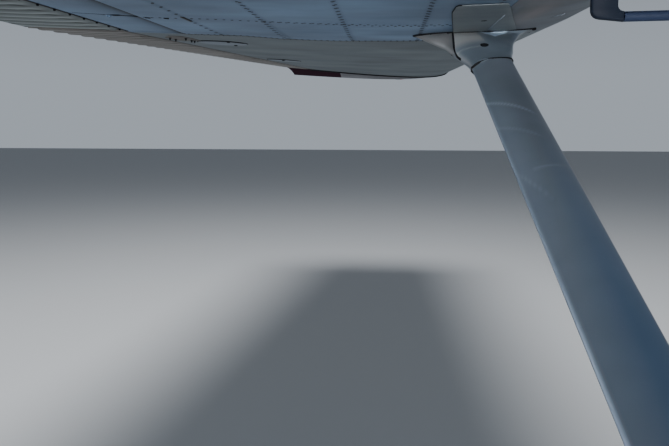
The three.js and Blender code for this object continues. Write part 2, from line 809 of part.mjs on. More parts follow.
// Tie-down eye outboard of the fairing
function addTieDown() {
  const foot = onSkin(2095, 0.172, -1);
  const ring = new THREE.TorusGeometry(17, 4, 8, 24).rotateY(Math.PI / 2).translate(0, 0, -36);
  const shank = new THREE.CylinderGeometry(5, 5, 16, 12).rotateX(Math.PI / 2).translate(0, 0, -9.4);
  const pad = new THREE.CylinderGeometry(13, 13, 8, 20).rotateX(Math.PI / 2).translate(0, 0, -0.5);
  const eye = join(ring, shank, pad).translate(...foot.toArray());
  add("tie_down_eye", cut(eye, lowerSkins()), "steel");
}

// Pitot tube: a blade down from the lower skin, and a tube that points forward and a little down
const pitotY = 1010;
const pitotRear = 26;
const pitotFront = 63;
const pitotLow = -153;
const pitotTube = 14.2;
const pitotSlope = 6;
const pitotTip = 118;
const bladeThickness = 12;

function addPitot() {
  const top = lowerSkinAt(pitotY, (pitotRear + pitotFront) / 2).z + 6;
  const fall = (x) => (x - pitotRear) * Math.tan(rad(-pitotSlope));
  const bottom = (x) => pitotLow + 3 + fall(x);
  const corner = 13;
  const socketX = pitotFront + 9;
  const blade = new THREE.Shape()
    .moveTo(pitotRear, top)
    .lineTo(pitotRear, bottom(pitotRear) + corner)
    .quadraticCurveTo(pitotRear, bottom(pitotRear), pitotRear + corner, bottom(pitotRear + corner))
    .lineTo(socketX, bottom(socketX))
    .lineTo(socketX, bottom(socketX) + pitotTube)
    .quadraticCurveTo(pitotFront, bottom(pitotFront) + pitotTube, pitotFront, bottom(pitotFront) + 22)
    .lineTo(pitotFront, top);
  const bevel = { bevelEnabled: true, bevelThickness: 4, bevelSize: 3, bevelOffset: -3, bevelSegments: 2 };
  const plate = new THREE.ExtrudeGeometry(blade, { depth: bladeThickness - 8, curveSegments: 5, ...bevel })
    .rotateX(Math.PI / 2)
    .translate(0, pitotY + (bladeThickness - 8) / 2, 0);
  const foot = box([pitotRear - 14, pitotFront + 14], [pitotY - 20, pitotY + 20], [top - 12, top]);
  add("pitot_mast", cut(join(plate, foot), lowerSkins()), "darkMetal");
  const r = pitotTube / 2;
  const length = pitotTip - r;
  const profile = [[0, 0], [r, 0], [r, length - 20], [r * 0.55, length], [2.2, length], [2.2, length - 14], [0, length - 14]];
  const tube = new THREE.LatheGeometry(profile.map(([x, y]) => new THREE.Vector2(x, y)), 20)
    .rotateZ(-Math.PI / 2 - rad(pitotSlope))
    .translate(socketX + jointGap, pitotY, bottom(socketX) + r);
  add("pitot_tube", tube, "darkMetal");
}

// Stall warning tab on the lower leading edge
function addStallVane() {
  const [y, at] = [620, 0.02];
  const middle = onSkin(y, at, -1);
  const low = onSkin(y, at + 0.02, -1);
  const slope = Math.atan2(middle.z - low.z, middle.x - low.x);
  const plate = new THREE.BoxGeometry(36, 70, 8).translate(0, 0, 1);
  const tab = new THREE.BoxGeometry(26, 22, 1.5).rotateY(0.5).translate(12, 0, -7);
  const vane = join(plate, tab).rotateY(-slope).translate(...middle.toArray());
  add("stall_warning_vane", cut(vane, lowerSkins()), "alloy");
}

addSkins();
addRootRib();
add("front_spar_lug", rootLug(frontSpar, 62), "steel");
add("rear_spar_lug", rootLug(rearSpar, 46), "steel");
addFlap();
addAileron();
addTip();
addStrut();
addFork();
addPlate();
addFuelCap();
addCovers();
addTieDown();
addPitot();
addStallVane();

export default wing;
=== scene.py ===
import math

import bmesh
import bpy
import numpy as np
from mathutils import Matrix, Vector


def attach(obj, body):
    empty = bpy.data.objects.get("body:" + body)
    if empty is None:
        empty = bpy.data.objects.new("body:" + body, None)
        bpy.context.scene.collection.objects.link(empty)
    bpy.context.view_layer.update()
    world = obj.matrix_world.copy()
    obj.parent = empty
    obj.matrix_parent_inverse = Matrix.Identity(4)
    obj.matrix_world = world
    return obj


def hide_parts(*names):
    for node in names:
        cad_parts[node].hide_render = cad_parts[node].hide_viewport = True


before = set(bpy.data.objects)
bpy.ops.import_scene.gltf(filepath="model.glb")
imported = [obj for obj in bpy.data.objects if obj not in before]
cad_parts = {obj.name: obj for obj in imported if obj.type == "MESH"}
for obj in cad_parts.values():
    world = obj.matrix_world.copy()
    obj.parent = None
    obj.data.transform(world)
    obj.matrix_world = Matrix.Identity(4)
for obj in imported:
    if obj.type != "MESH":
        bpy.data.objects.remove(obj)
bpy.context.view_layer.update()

# Sizes of the wing, in millimetres, as in the frame
MM = 0.001
ROOT = {"chord": 1626.0, "tilt": math.radians(1.5), "hinge": 0.829}
TIP = {"chord": 1130.0, "tilt": math.radians(-1.5), "hinge": 0.848}
UNSWEPT_LINE = 0.2625
CAMBER, CAMBER_PEAK, THICKNESS = 0.02, 0.4, 0.12
EDGE_HALF = 0.001
FRONT_SPAR, REAR_SPAR = 0.17, 0.706
SPAR_X, SPAR_Z = 149.85, 44.126
DIHEDRAL_SLOPE = math.tan(math.radians(1.73))
CENTRELINE_TO_LUG = 565.0
RIB_Y, RIB_THICKNESS = 45.0, 20.0
SKIN_START_Y, BREAK_Y, TIP_RIB_Y, TIP_EDGE_Y = 65.3, 2000.0, 4718.0, 4934.0
SKIN_JOINT = np.array([(0.44, 2152.0), (0.535, 2118.0), (0.6, 2042.0)])
OUTER_START_Y, AFT_JOINT_Y, SEAM_GAP = 2260.0, 2040.0, 0.3
INNER_STEP, OUTER_STEP = 30.0, 34.0

# Flap, aileron and their bays: stations, distances behind the leading edge, and gaps
FLAP_IN_Y, FLAP_OUT_Y, AILERON_IN_Y, AILERON_OUT_Y = 70.0, 1996.0, 2006.0, 4708.0
FLAP_NOSE_AFT, FLAP_NOSE_LENGTH, FLAP_GAP = 1325.0, 30.0, 7.0
BAY_WALL_AFT, LOWER_LIP_AFT, SHROUD_END_AFT = 1316.0, 1319.0, 1423.0
SHROUD_ROOT, LIP_THICKNESS, JOGGLE_DEPTH, JOGGLE_LENGTH = 12.0, 3.0, 2.6, 20.0
NOSE_GAP, WALL_GAP, NOTCH_HALF, NOTCH_DEPTH = 7.0, 12.0, 9.0, 19.0
HINGE_STATIONS = (2204.0, 3423.0, 4591.0)
BEAD_PITCH, BEAD_DEPTH, BEAD_FLATNESS = 75.7, 2.8, 1.6
FLAP_BEAD_Y, AILERON_BEAD_Y, BEAD_STEP = 1983.0, 4682.0, 6.5

# The flap's rails and rollers: sizes, and angles in degrees about the line that the flap turns on
RAIL_STATIONS, RAIL_RADIUS, RAIL_HALF, RAIL_WIDTH = (160.0, 900.0, 1645.0), 150.0, 8.0, 8.0
FLAP_PIVOT_UP, ROLLER_RADIUS, ROLLER_GAP, ROLLER_ANGLE, RAIL_TIP_ANGLE = -130.0, 6.0, 0.4, -6.5, -49.0
SLOT_SIDE, SLOT_MARGIN, SLOT_START, SLOT_END = 6.0, 2.0, RAIL_TIP_ANGLE - 8, 4.0
ROLLER_ROOM_START, ROLLER_ROOM_END = ROLLER_ANGLE - 5, ROLLER_ANGLE + 9

# Lift strut
STRUT_TOP = np.array([-5.0, 1995.0, -31.53])
STRUT_FOOT = np.array([118.0, 35.0, -1024.0])
STRUT_CHORD, STRUT_THICKNESS, STRUT_WIDEST, TUBE_TAIL = 108.0, 46.0, 0.38, 1.2


# The wing section and its place in space

def half_thickness(t):
    """The usual four-digit thickness curve, with a slightly blunt trailing edge."""
    poly = 0.2969 * np.sqrt(np.maximum(t, 0)) - 0.126 * t - 0.3516 * t**2 + 0.2843 * t**3 - 0.1036 * t**4
    return 5 * THICKNESS * poly + EDGE_HALF * t


def camber_line(t):
    front = CAMBER / CAMBER_PEAK**2 * (2 * CAMBER_PEAK * t - t * t)
    rear = CAMBER / (1 - CAMBER_PEAK) ** 2 * (1 - 2 * CAMBER_PEAK + 2 * CAMBER_PEAK * t - t * t)
    return np.where(t < CAMBER_PEAK, front, rear)


def surface(t, side):
    return camber_line(t) + side * half_thickness(t)


def turned(section, aft, up):
    """Distances ahead of the unswept line and up, with the section at its tilt."""
    x = UNSWEPT_LINE * section["chord"] - aft
    s, c = math.sin(section["tilt"]), math.cos(section["tilt"])
    return x * c - up * s, x * s + up * c


def rise(y):
    return (y + CENTRELINE_TO_LUG) * DIHEDRAL_SLOPE - SPAR_Z


def along_taper(y, root, tip):
    """A value that stays at the root's as far as the taper's start, and reaches the tip's at the tip rib."""
    return root + (tip - root) * np.maximum(0, (np.asarray(y) - BREAK_Y) / (TIP_RIB_Y - BREAK_Y))


def section_ring(y, outline):
    """Points of an outline(section, y), given as aft and up distances, at one station or one for each."""
    root_x, root_z = turned(ROOT, *np.asarray(outline(ROOT, y), float).T)
    tip_x, tip_z = turned(TIP, *np.asarray(outline(TIP, y), float).T)
    x = along_taper(y, root_x, tip_x) - SPAR_X
    z = along_taper(y, root_z, tip_z) + rise(y)
    return np.stack([x, np.broadcast_to(y, x.shape), z], axis=1)


def chord_at(y):
    return along_taper(y, ROOT["chord"], TIP["chord"])


def chord_share(points):
    """The share of the chord at which each point in space lies."""
    x, y, z = np.asarray(points).T
    tilt = along_taper(y, ROOT["tilt"], TIP["tilt"])
    ahead = (x + SPAR_X + (z - rise(y)) * np.sin(tilt)) / np.cos(tilt)
    return UNSWEPT_LINE - ahead / chord_at(y)


def skin_height(y, t, side=-1):
    """Height of one skin at stations and shares of the chord."""
    root, tip = (turned(s, t * s["chord"], s["chord"] * surface(t, side))[1] for s in (ROOT, TIP))
    return along_taper(y, root, tip) + rise(y)


def joint_station(t):
    """The skins' joint runs straight, slants inboard, and is straight again behind."""
    return np.interp(t, *SKIN_JOINT.T)


def skin_line(section, t, side, lift):
    """Aft and up distances along one skin, raised by lift along the section's own normal."""
    step, steepest = 1e-4, 4
    ahead, behind = np.maximum(t - step, 0), t + step
    slope = (surface(behind, side) - surface(ahead, side)) / (behind - ahead)
    slope = np.clip(slope, -steepest, steepest)
    length = np.sqrt(1 + slope * slope)
    aft = t * section["chord"] - side * lift * slope / length
    up = section["chord"] * surface(t, side) + side * lift / length
    return np.stack([aft, up], axis=1)


def skin_point(y, t, side, lift=0.0):
    return section_ring(y, lambda s, _: skin_line(s, np.array([t]), side, lift))[0]


def skin_normal(y, t, side):
    dy, dt = 10, 0.01
    chordwise = skin_point(y, t + dt, side) - skin_point(y, t - dt, side)
    spanwise = skin_point(y + dy, t, side) - skin_point(y - dy, t, side)
    normal = np.cross(chordwise, spanwise)
    normal /= np.linalg.norm(normal)
    return normal * side * np.sign(normal[2])


# Soft edges

def fade(value, start, end):
    """From 0 at the start to 1 at the end, smoothly."""
    s = np.clip((value - start) / (end - start), 0, 1)
    return s * s * (3 - 2 * s)


def window(value, start, full, last, end):
    """From 0 at the start to 1, and back to 0 at the end."""
    return fade(value, start, full) * fade(-value, -end, -last)


def bell(distance, width):
    return np.exp(-((distance / width) ** 2))


def streak(distance, strength, width):
    return strength * bell(distance, width)


# Meshes

ALL_SMOOTH = 180


def make_piece(name, points, faces, material, **options):
    return finish_piece(name, plain_mesh(name, points, faces), material, **options)


def plain_mesh(name, points, faces):
    mesh = bpy.data.meshes.new(name)
    mesh.from_pydata((np.asarray(points) * MM).tolist(), [], faces)
    bm = bmesh.new()
    bm.from_mesh(mesh)
    bmesh.ops.recalc_face_normals(bm, faces=bm.faces)
    bm.to_mesh(mesh)
    bm.free()
    return mesh


def finish_piece(name, mesh, material, body="wing", replaced=(), slot="wing_paint", sharp=35, soil=None):
    """Smooth a mesh up to the sharp angle, mark its dirt and painted light, and put it on its body."""
    mesh.shade_smooth()
    if sharp < ALL_SMOOTH:
        mesh.set_sharp_from_angle(angle=math.radians(sharp))
    if soil:
        amount = soil(vertices_of(mesh))
        mesh.attributes.new("soil", "FLOAT", "POINT").data.foreach_set("value", np.ascontiguousarray(amount))
    mesh.materials.clear()
    mesh.materials.append(material)
    piece = bpy.data.objects.new(name, mesh)
    bpy.context.scene.collection.objects.link(piece)
    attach(piece, body)
    if replaced:
        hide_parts(*replaced)
    return piece


def vertices_of(mesh):
    flat = np.empty(3 * len(mesh.vertices))
    mesh.vertices.foreach_get("co", flat)
    return flat.reshape(-1, 3) / MM


def loft_faces(rings):
    """Points and faces of a closed tube through rings of equally many points, with flat ends."""
    count, size = len(rings), len(rings[0])
    faces = []
    for i in range(count - 1):
        for j in range(size):
            a, b = i * size + j, i * size + (j + 1) % size
            faces.append((a, b, b + size, a + size))
    faces.append(tuple(range(size))[::-1])
    faces.append(tuple(range((count - 1) * size, count * size)))
    return np.concatenate(rings), faces


def loft_piece(name, rings, material, **options):
    return make_piece(name, *loft_faces(rings), material, **options)


def stations(start, end, step):
    return np.linspace(start, end, max(2, int(round((end - start) / step)) + 1))


def cut_away(piece, cutters):
    """The piece's mesh with the cutters taken out of it."""
    for cutter in cutters:
        modifier = piece.modifiers.new("cut", "BOOLEAN")
        modifier.operation, modifier.object, modifier.solver = "DIFFERENCE", cutter, "MANIFOLD"
    return evaluated_mesh(piece)


def evaluated_mesh(piece):
    """A plain mesh of the piece with its modifiers applied, which are then cleared."""
    graph = bpy.context.evaluated_depsgraph_get()
    mesh = bpy.data.meshes.new_from_object(piece.evaluated_get(graph), depsgraph=graph)
    piece.modifiers.clear()
    return mesh


def helper(name, points, faces):
    """A solid that only cuts others or is cut, and is removed after."""
    solid = bpy.data.objects.new(name, plain_mesh(name, points, faces))
    bpy.context.scene.collection.objects.link(solid)
    return solid


def block(x, y, z):
    corners = [(a, b, c) for a in x for b in y for c in z]
    return corners, [(0, 1, 3, 2), (4, 6, 7, 5), (0, 4, 5, 1), (2, 3, 7, 6), (0, 2, 6, 4), (1, 5, 7, 3)]


def remove(*objects):
    for item in objects:
        bpy.data.objects.remove(item)


def half_round(aft, up, length, height, count):
    """The front half of an oval, from its top to its bottom."""
    angle = np.linspace(math.pi / 2, 1.5 * math.pi, count)
    return np.stack([aft + length * np.cos(angle), up + height * np.sin(angle)], axis=1)


# Rows of rivets, which pull the skin in a little. A spanwise row runs at a share of the chord.
SPANWISE_ROWS = (0.148, 0.188, 0.275, 0.397, 0.517, 0.6355)
RIB_ROWS = (380.0, 760.0, 1180.0)
SLANTED_RIB = ((0.31, 0.60), (1757.0, 1670.0))
NOSE_LIFT, INNER_LIFT, OUTER_LIFT = -0.3, -1.0, -0.6
ROW_REACH = (-12.0, -5.0, 0.0, 5.0, 12.0)
PULL_INBOARD, PULL_OUTBOARD, PULL_WIDTH, PULL_PAST_JOINT = -0.35, -0.1, 15.0, 30.0
NOSE_POINTS, NOSE_PLAIN, BOX_STEP = 30, 0.06, 0.014
JOINT_SHARES = (0.25, 0.5, 0.75, 0.93, 1)


def among(start, end, step, marks, reach=ROW_REACH):
    """Even steps from start to end, with extra ones close to each mark."""
    near = [m + r for m in marks for r in reach if start < m + r < end]
    even = [v for v in stations(start, end, step)
            if min([abs(v - n) for n in near], default=math.inf) > abs(reach[1])]
    return np.array(sorted({start, end, *near, *even[1:-1]}))


def box_shares():
    """Chord shares of the box's points, closer together at the spanwise rows."""
    return among(FRONT_SPAR, REAR_SPAR, BOX_STEP, SPANWISE_ROWS, [r / ROOT["chord"] for r in ROW_REACH])


def row_distance(y, t):
    """Distance to the nearest row of rivets along the span or along a rib."""
    spanwise = np.min([np.abs(t - row) * ROOT["chord"] for row in SPANWISE_ROWS], axis=0)
    return np.minimum(spanwise, np.min([np.abs(np.asarray(y) - row) for row in RIB_ROWS], axis=0))


def pillow(t, y):
    """How far the skin is drawn in near the rivet rows, in millimetres."""
    depth = np.where(y < joint_station(t) + PULL_PAST_JOINT, PULL_INBOARD, PULL_OUTBOARD)
    return depth * bell(row_distance(y, t), PULL_WIDTH)


def nose_outline(lift):
    """The nose skin around the leading edge, with the rows' pull only behind its plain front."""
    def outline(section, y):
        t = FRONT_SPAR * np.linspace(0, 1, NOSE_POINTS) ** 2
        y_upper, y_lower = (y[:NOSE_POINTS][::-1], y[NOSE_POINTS - 1:]) if np.ndim(y) else (y, y)
        amount = np.clip((t - NOSE_PLAIN) / NOSE_PLAIN, 0, 1)
        upper = skin_line(section, t, 1, lift + pillow(t, y_upper) * amount)
        lower = skin_line(section, t, -1, lift + pillow(t, y_lower) * amount)
        return np.concatenate([upper[::-1], lower[1:]])
    return outline


def box_outline(lift):
    """The box between the spars."""
    def outline(section, y):
        t = box_shares()
        t[0] += SEAM_GAP / section["chord"]
        y_upper, y_lower = (y[:len(t)], y[len(t):]) if np.ndim(y) else (y, y)
        return np.concatenate([
            skin_line(section, t, 1, lift + pillow(t, y_upper)),
            skin_line(section, t[::-1], -1, lift + pillow(t[::-1], y_lower)),
        ])
    return outline


def hinge_of(section):
    aft = section["hinge"] * section["chord"]
    top = section["chord"] * surface(section["hinge"], 1)
    bottom = section["chord"] * surface(section["hinge"], -1)
    return aft, (top + bottom) / 2, (top - bottom) / 2


def bay_lip(section):
    aft, _, radius = hinge_of(section)
    return (aft - math.sqrt((radius + NOSE_GAP) ** 2 - radius**2)) / section["chord"]


def hollow_back(section):
    """The lips and the curved wall that the aileron's round nose turns in."""
    aft, up, radius = hinge_of(section)
    lip = bay_lip(section) * section["chord"]
    wall = aft - radius - WALL_GAP
    top = section["chord"] * surface(bay_lip(section), 1) - LIP_THICKNESS
    bottom = section["chord"] * surface(bay_lip(section), -1) + LIP_THICKNESS
    return np.array([[lip, top], [wall, top - 1], [wall, up], [wall, bottom + 1], [lip, bottom]])


def joint_rings(outline, straight, offset):
    """Rings that run from a straight station to the slanted joint of the skins."""
    flat = np.asarray(outline(ROOT, straight))
    joint = joint_station(flat[:, 0] / ROOT["chord"]) + offset
    return [section_ring(straight + (joint - straight) * share, outline) for share in JOINT_SHARES]


def build_skins(nose_paint, inner_paint, outer_paint):
    inner = among(SKIN_START_Y, BREAK_Y, INNER_STEP, RIB_ROWS)
    inner = np.insert(inner, 1, SKIN_START_Y + 2 * SEAM_GAP)
    outer = among(OUTER_START_Y, TIP_RIB_Y, OUTER_STEP, (TIP_RIB_Y,))
    for name, node, outline, lift, paint in (
        ("nose_skin", "nose_skin", nose_outline, NOSE_LIFT, nose_paint),
        ("centre_skin", "centre_box", box_outline, INNER_LIFT, inner_paint),
    ):
        inboard, outboard = outline(lift), outline(OUTER_LIFT)
        rings = [section_ring(y, inboard) for y in inner] + joint_rings(inboard, BREAK_Y, 0)
        loft_piece(f"{name}_inboard_sheet", rings, paint, replaced=[f"{node}_inboard"], soil=skin_soil)
        rings = joint_rings(outboard, OUTER_START_Y, SEAM_GAP)[::-1]
        rings += [section_ring(y, outboard) for y in outer]
        loft_piece(f"{name}_outboard_sheet", rings, outer_paint, replaced=[f"{node}_outboard"],
                   soil=skin_soil)


def aileron_bay_outline(section, y):
    start, lip = REAR_SPAR + SEAM_GAP / section["chord"], bay_lip(section)
    return np.concatenate([
        skin_line(section, np.linspace(start, lip, 14), 1, OUTER_LIFT),
        hollow_back(section),
        skin_line(section, np.linspace(lip, start, 14), -1, OUTER_LIFT),
    ])


def shroud_under(section, aft):
    """Height of the shroud's underside, which thins towards its rear edge."""
    share = (aft - BAY_WALL_AFT) / (SHROUD_END_AFT - BAY_WALL_AFT)
    top = section["chord"] * float(surface(aft / section["chord"], 1))
    return top - SHROUD_ROOT + (SHROUD_ROOT - LIP_THICKNESS) * share


def flap_bay_outline(section, y):
    """Upper skin, shroud, front wall, lower lip, and the lower skin with a joggle at the rear spar."""
    chord = section["chord"]
    start = REAR_SPAR + SEAM_GAP / chord
    top_t = np.linspace(start, SHROUD_END_AFT / chord, 24)
    low_t = np.linspace(LOWER_LIP_AFT / chord, start, 30)
    joggle = -JOGGLE_DEPTH * np.exp(-(low_t - start) * chord / JOGGLE_LENGTH)
    return np.concatenate([
        skin_line(section, top_t, 1, INNER_LIFT),
        [[aft, shroud_under(section, aft)] for aft in np.linspace(SHROUD_END_AFT, BAY_WALL_AFT, 6)],
        [[aft, chord * float(surface(aft / chord, -1)) + LIP_THICKNESS]
         for aft in (BAY_WALL_AFT, LOWER_LIP_AFT)],
        skin_line(section, low_t, -1, INNER_LIFT + joggle),
    ])


def rail_band(inner, outer, start, end):
    """An arc band about the line that the flap turns on; angles in degrees, positive behind it."""
    angle = np.radians(np.linspace(start, end, 16))
    arc = lambda radius: np.stack([FLAP_NOSE_AFT + radius * np.sin(angle),
                                   FLAP_PIVOT_UP + radius * np.cos(angle)], axis=1)
    return np.concatenate([arc(outer), arc(inner)[::-1]])


def rail_slots():
    """Cutters for the rails' slots, narrow towards the rail's tip, then wide, and high at the rollers."""
    clear, room = RAIL_HALF + SLOT_SIDE, RAIL_HALF + ROLLER_GAP + 2 * ROLLER_RADIUS + SLOT_MARGIN
    wide, narrow = RAIL_WIDTH / 2 + SLOT_SIDE, RAIL_WIDTH / 2 + SLOT_MARGIN
    slots = []
    for y in RAIL_STATIONS:
        for reach, start, end, half in (
            (clear, SLOT_START, ROLLER_ROOM_START + 1, narrow),
            (clear, ROLLER_ROOM_START, SLOT_END, wide),
            (room, ROLLER_ROOM_START, ROLLER_ROOM_END, wide),
        ):
            band = rail_band(RAIL_RADIUS - reach, RAIL_RADIUS + reach, start, end)
            rings = [section_ring(v, lambda s, _: band) for v in (y - half, y + half)]
            slots.append(helper("slot", *loft_faces(rings)))
    return slots


def build_flap_bay(paint):
    ys = among(SKIN_START_Y, BREAK_Y - SEAM_GAP, 40, RIB_ROWS)
    bay = helper("bay_whole", *loft_faces([section_ring(y, flap_bay_outline) for y in ys]))
    slots = rail_slots()
    finish_piece("flap_bay_sheet", cut_away(bay, slots), paint, replaced=["flap_bay"], soil=bay_soil)
    remove(bay, *slots)


def build_aileron_bay(inner_paint, outer_paint):
    outer = stations(AFT_JOINT_Y + 2.2, TIP_RIB_Y, OUTER_STEP)
    loft_piece("aileron_bay_sheet", [section_ring(y, aileron_bay_outline) for y in outer], outer_paint,
               replaced=["aileron_bay"], soil=bay_soil)
    inner = stations(BREAK_Y, AFT_JOINT_Y, 20)
    loft_piece("bay_joint_strip", [section_ring(y, aileron_bay_outline) for y in inner], inner_paint,
               soil=bay_soil)


# Soil and shading, from 0 where the paint is clean to 1 for the paint's second colour, which stands for dirt
# and painted shade, and on the fairing for painted highlights; below 0 the paint is paler, as painted
# highlights

# Strength and half width at the rivet rows (dirt and painted shade), the skins' joint and the tip rib, and
# on the beads (painted shade and highlight) and lips
ROW_GRIME_AND_SHADE, JOINT_GRIME, TIP_GRIME = (0.22, 8.0), (0.6, 5.0), (0.9, 7.0)
HOLLOW_SHADE, CREST_SHINE, LIP_DARKENING = (0.85, 18.0), (-0.35, 11.0), (0.35, 0.012)
LIP_SHARE, BEADS_SHADED = 0.818, (0.822, 0.845)
# Darker patches of the lower skin: strength, then start, full, last full and end along the span and along
# the chord
SKIN_PATCHES = ((0.28, (1280, 1420, 1440, 1560), (0.12, 0.17, 0.235, 0.25)),
          (0.35, (1760, 1900, 1960, 2040), (0.2, 0.23, 0.3, 0.4)))
# Long painted reflections on the nose, brown and pale: strength, chord share and half width, station and
# half length
NOSE_REFLECTIONS = ((0.7, 0.122, 0.018, 1640, 170), (-0.35, 0.155, 0.008, 1560, 200))
# Strength and reach of the painted shade behind the rear spar's crease, and where the bay's inside turns
# dark with painted shade
CREASE_SHADE = ((0.9, 16.0), (0.35, 60.0))
BAY_DARK_FROM, BAY_DARK_OVER = 0.79, 0.006


# Rows with dirt and painted shade, dark joints, root ends in painted shade, darker patches, and painted
# reflections on the nose
def skin_soil(points):
    y, t = points[:, 1], chord_share(points)
    seam = joint_station(t)
    rows = streak(row_distance(y, t), *ROW_GRIME_AND_SHADE) * (y < seam + 1)
    seams = streak(y - seam, *JOINT_GRIME) + streak(y - TIP_RIB_Y, *TIP_GRIME) + root_end_shade(y)
    marks = sum(strength * window(y, *span) * window(t, *chord) for strength, span, chord in SKIN_PATCHES)
    marks = marks + sum(streak(t - share, strength, width) * bell(y - station, length)
                        for strength, share, width, station, length in NOSE_REFLECTIONS)
    lower = points[:, 2] < skin_height(y, t) + 30
    return np.clip(rows + seams + marks * lower, -1, 1)


def root_end_shade(y):
    """The sheets' end faces at the root are dark, as painted shade seen through the rib's holes."""
    return y < SKIN_START_Y + SEAM_GAP


# Painted shade behind the rear spar's crease, inside the bay and on the root ends, and the dark joint at the
# tip rib
def bay_soil(points):
    y, t = points[:, 1], chord_share(points)
    behind = np.maximum(0, (t - REAR_SPAR) * ROOT["chord"])
    lower = points[:, 2] < skin_height(y, t) + 8
    crease = sum(strength * np.exp(-behind / reach) for strength, reach in CREASE_SHADE)
    inside = np.clip((t - BAY_DARK_FROM) / BAY_DARK_OVER, 0, 1) * (points[:, 2] < skin_height(y, t, 1) - 5)
    ends = streak(y - TIP_RIB_Y, *TIP_GRIME) + root_end_shade(y)
    return np.clip(crease * (lower & (y < AFT_JOINT_Y)) + inside * ~lower + ends, 0, 1)


# Flap and aileron, with pressed beads that run along the chord

# Chord shares over which the flap's beads rise below and above, and flatten towards the trailing edge
LOW_RISE, HIGH_RISE, EDGE_FLATTENS, EDGE_SHARE, BEADED_LIFT = (0.836, 0.87), 0.03, (1, 0.975), 0.9999, -0.2


def bead_wave(y, crest):
    """Rounded pressed waves with flatter crests and hollows."""
    phase = 2 * math.pi * (y - crest) / BEAD_PITCH
    return BEAD_DEPTH * math.tanh(BEAD_FLATNESS * math.cos(phase)) / math.tanh(BEAD_FLATNESS)


def bead_soil(crest):
    """Painted shade in the hollows of either side and a painted highlight on the crests; on the lower one
    the hollows lie where the wave is highest.
    """
    def soil(points):
        y, t = points[:, 1], chord_share(points)
        phase = (y - crest) / BEAD_PITCH
        away = BEAD_PITCH * np.abs(phase - np.round(phase))
        lower = points[:, 2] < (skin_height(y, t, 1) + skin_height(y, t)) / 2
        hollow = np.where(lower, away, BEAD_PITCH / 2 - away)
        stripe = streak(hollow, *HOLLOW_SHADE) + streak(hollow - BEAD_PITCH / 2, *CREST_SHINE)
        return stripe * fade(t, *BEADS_SHADED) + streak(t - LIP_SHARE, *LIP_DARKENING)
    return soil


def beaded_line(section, t, side, wave, start, full):
    """One skin, its wave growing from one share of the chord to another."""
    line = skin_line(section, t, side, BEADED_LIFT)
    line[:, 1] += wave * fade(t, start, full)
    return line


def flap_outline(section, y):
    chord = section["chord"]
    middle, step = FLAP_NOSE_AFT + FLAP_NOSE_LENGTH, SHROUD_END_AFT + FLAP_GAP
    bottom = chord * float(surface(middle / chord, -1))
    top = shroud_under(section, middle) - FLAP_GAP
    nose = half_round(middle, (top + bottom) / 2, FLAP_NOSE_LENGTH, (top - bottom) / 2, 17)
    low_t = np.linspace(middle / chord, EDGE_SHARE, 15)[1:]
    high_t = np.linspace(EDGE_SHARE, step / chord + 0.006, 10)
    wave = bead_wave(y, FLAP_BEAD_Y)
    low = beaded_line(section, low_t, -1, wave * fade(low_t, *EDGE_FLATTENS), *LOW_RISE)
    high = beaded_line(section, high_t, 1, wave * fade(high_t, *EDGE_FLATTENS),
                       step / chord, step / chord + HIGH_RISE)
    shelf = [[step, chord * float(surface(step / chord, 1)) - 1.5],
             [step, shroud_under(section, SHROUD_END_AFT) - FLAP_GAP]]
    return np.concatenate([nose, low, high, shelf])


def aileron_outline(section, y):
    hinge = section["hinge"]
    aft, up, radius = hinge_of(section)
    nose = half_round(aft, up, radius, radius, 25)
    t = hinge + (1 - hinge) * np.linspace(0, 1, 15)[1:]
    rise_over = (hinge + 0.004, hinge + 0.2 * (1 - hinge))
    wave = bead_wave(y, AILERON_BEAD_Y)
    outline = np.concatenate([nose, beaded_line(section, t, -1, wave, *rise_over),
                              beaded_line(section, t[::-1], 1, wave, *rise_over)])
    if min(abs(y - station) for station in HINGE_STATIONS) < NOTCH_HALF:
        outline[:, 0] = np.maximum(outline[:, 0], aft + NOTCH_DEPTH)
    return outline


def build_moving_surfaces(flap_paint, aileron_paint):
    flap_ys = stations(FLAP_IN_Y, FLAP_OUT_Y, BEAD_STEP)
    loft_piece("flap_beaded", [section_ring(y, flap_outline) for y in flap_ys], flap_paint, body="flap",
               replaced=["flap"], slot="bead_paint", sharp=50, soil=bead_soil(FLAP_BEAD_Y))
    edges = [s + side * (NOTCH_HALF + d) for s in HINGE_STATIONS for side in (-1, 1) for d in (-0.05, 0.05)]
    aileron_ys = sorted([*stations(AILERON_IN_Y, AILERON_OUT_Y, BEAD_STEP), *edges])
    loft_piece("aileron_beaded", [section_ring(y, aileron_outline) for y in aileron_ys], aileron_paint,
               body="aileron", replaced=["aileron"], slot="bead_paint", sharp=50,
               soil=bead_soil(AILERON_BEAD_Y))


# Tip cap

TIP_LEADING_TRIM, TIP_TRAILING_TRIM, TIP_DROOP, TIP_EDGE = 0.094, 0.03, 42.0, 4.0
TIP_ROUNDING, TIP_DEPTH, EDGE_START = 0.995, 0.994, 12


def tip_ring(share):
    """A section of the cap at a share of the way to its edge, trimmed, drooped and thinned towards it."""
    chord = TIP["chord"]
    start = TIP_LEADING_TRIM * (1 - math.sqrt(1 - (TIP_ROUNDING * share) ** 2))
    end = 1 - TIP_TRAILING_TRIM * share
    fullness = math.sqrt(max(0.0, 1 - share * share))
    y = TIP_RIB_Y + SEAM_GAP + share * (TIP_EDGE_Y - TIP_RIB_Y)
    u = np.linspace(0, 1, 40) ** 1.7
    low = chord * surface(u, -1) - TIP_DROOP * u * share**2
    depth = chord * (surface(u, 1) - surface(u, -1))
    high = low + TIP_DEPTH * depth * fullness + TIP_EDGE * share * np.minimum(1, u * EDGE_START)
    aft = (start + (end - start) * u) * chord
    x, z = turned(TIP, np.concatenate([aft[::-1], aft[1:]]), np.concatenate([high[::-1], low[1:]]))
    return np.stack([x - SPAR_X, np.full_like(x, y), z + rise(y)], axis=1)


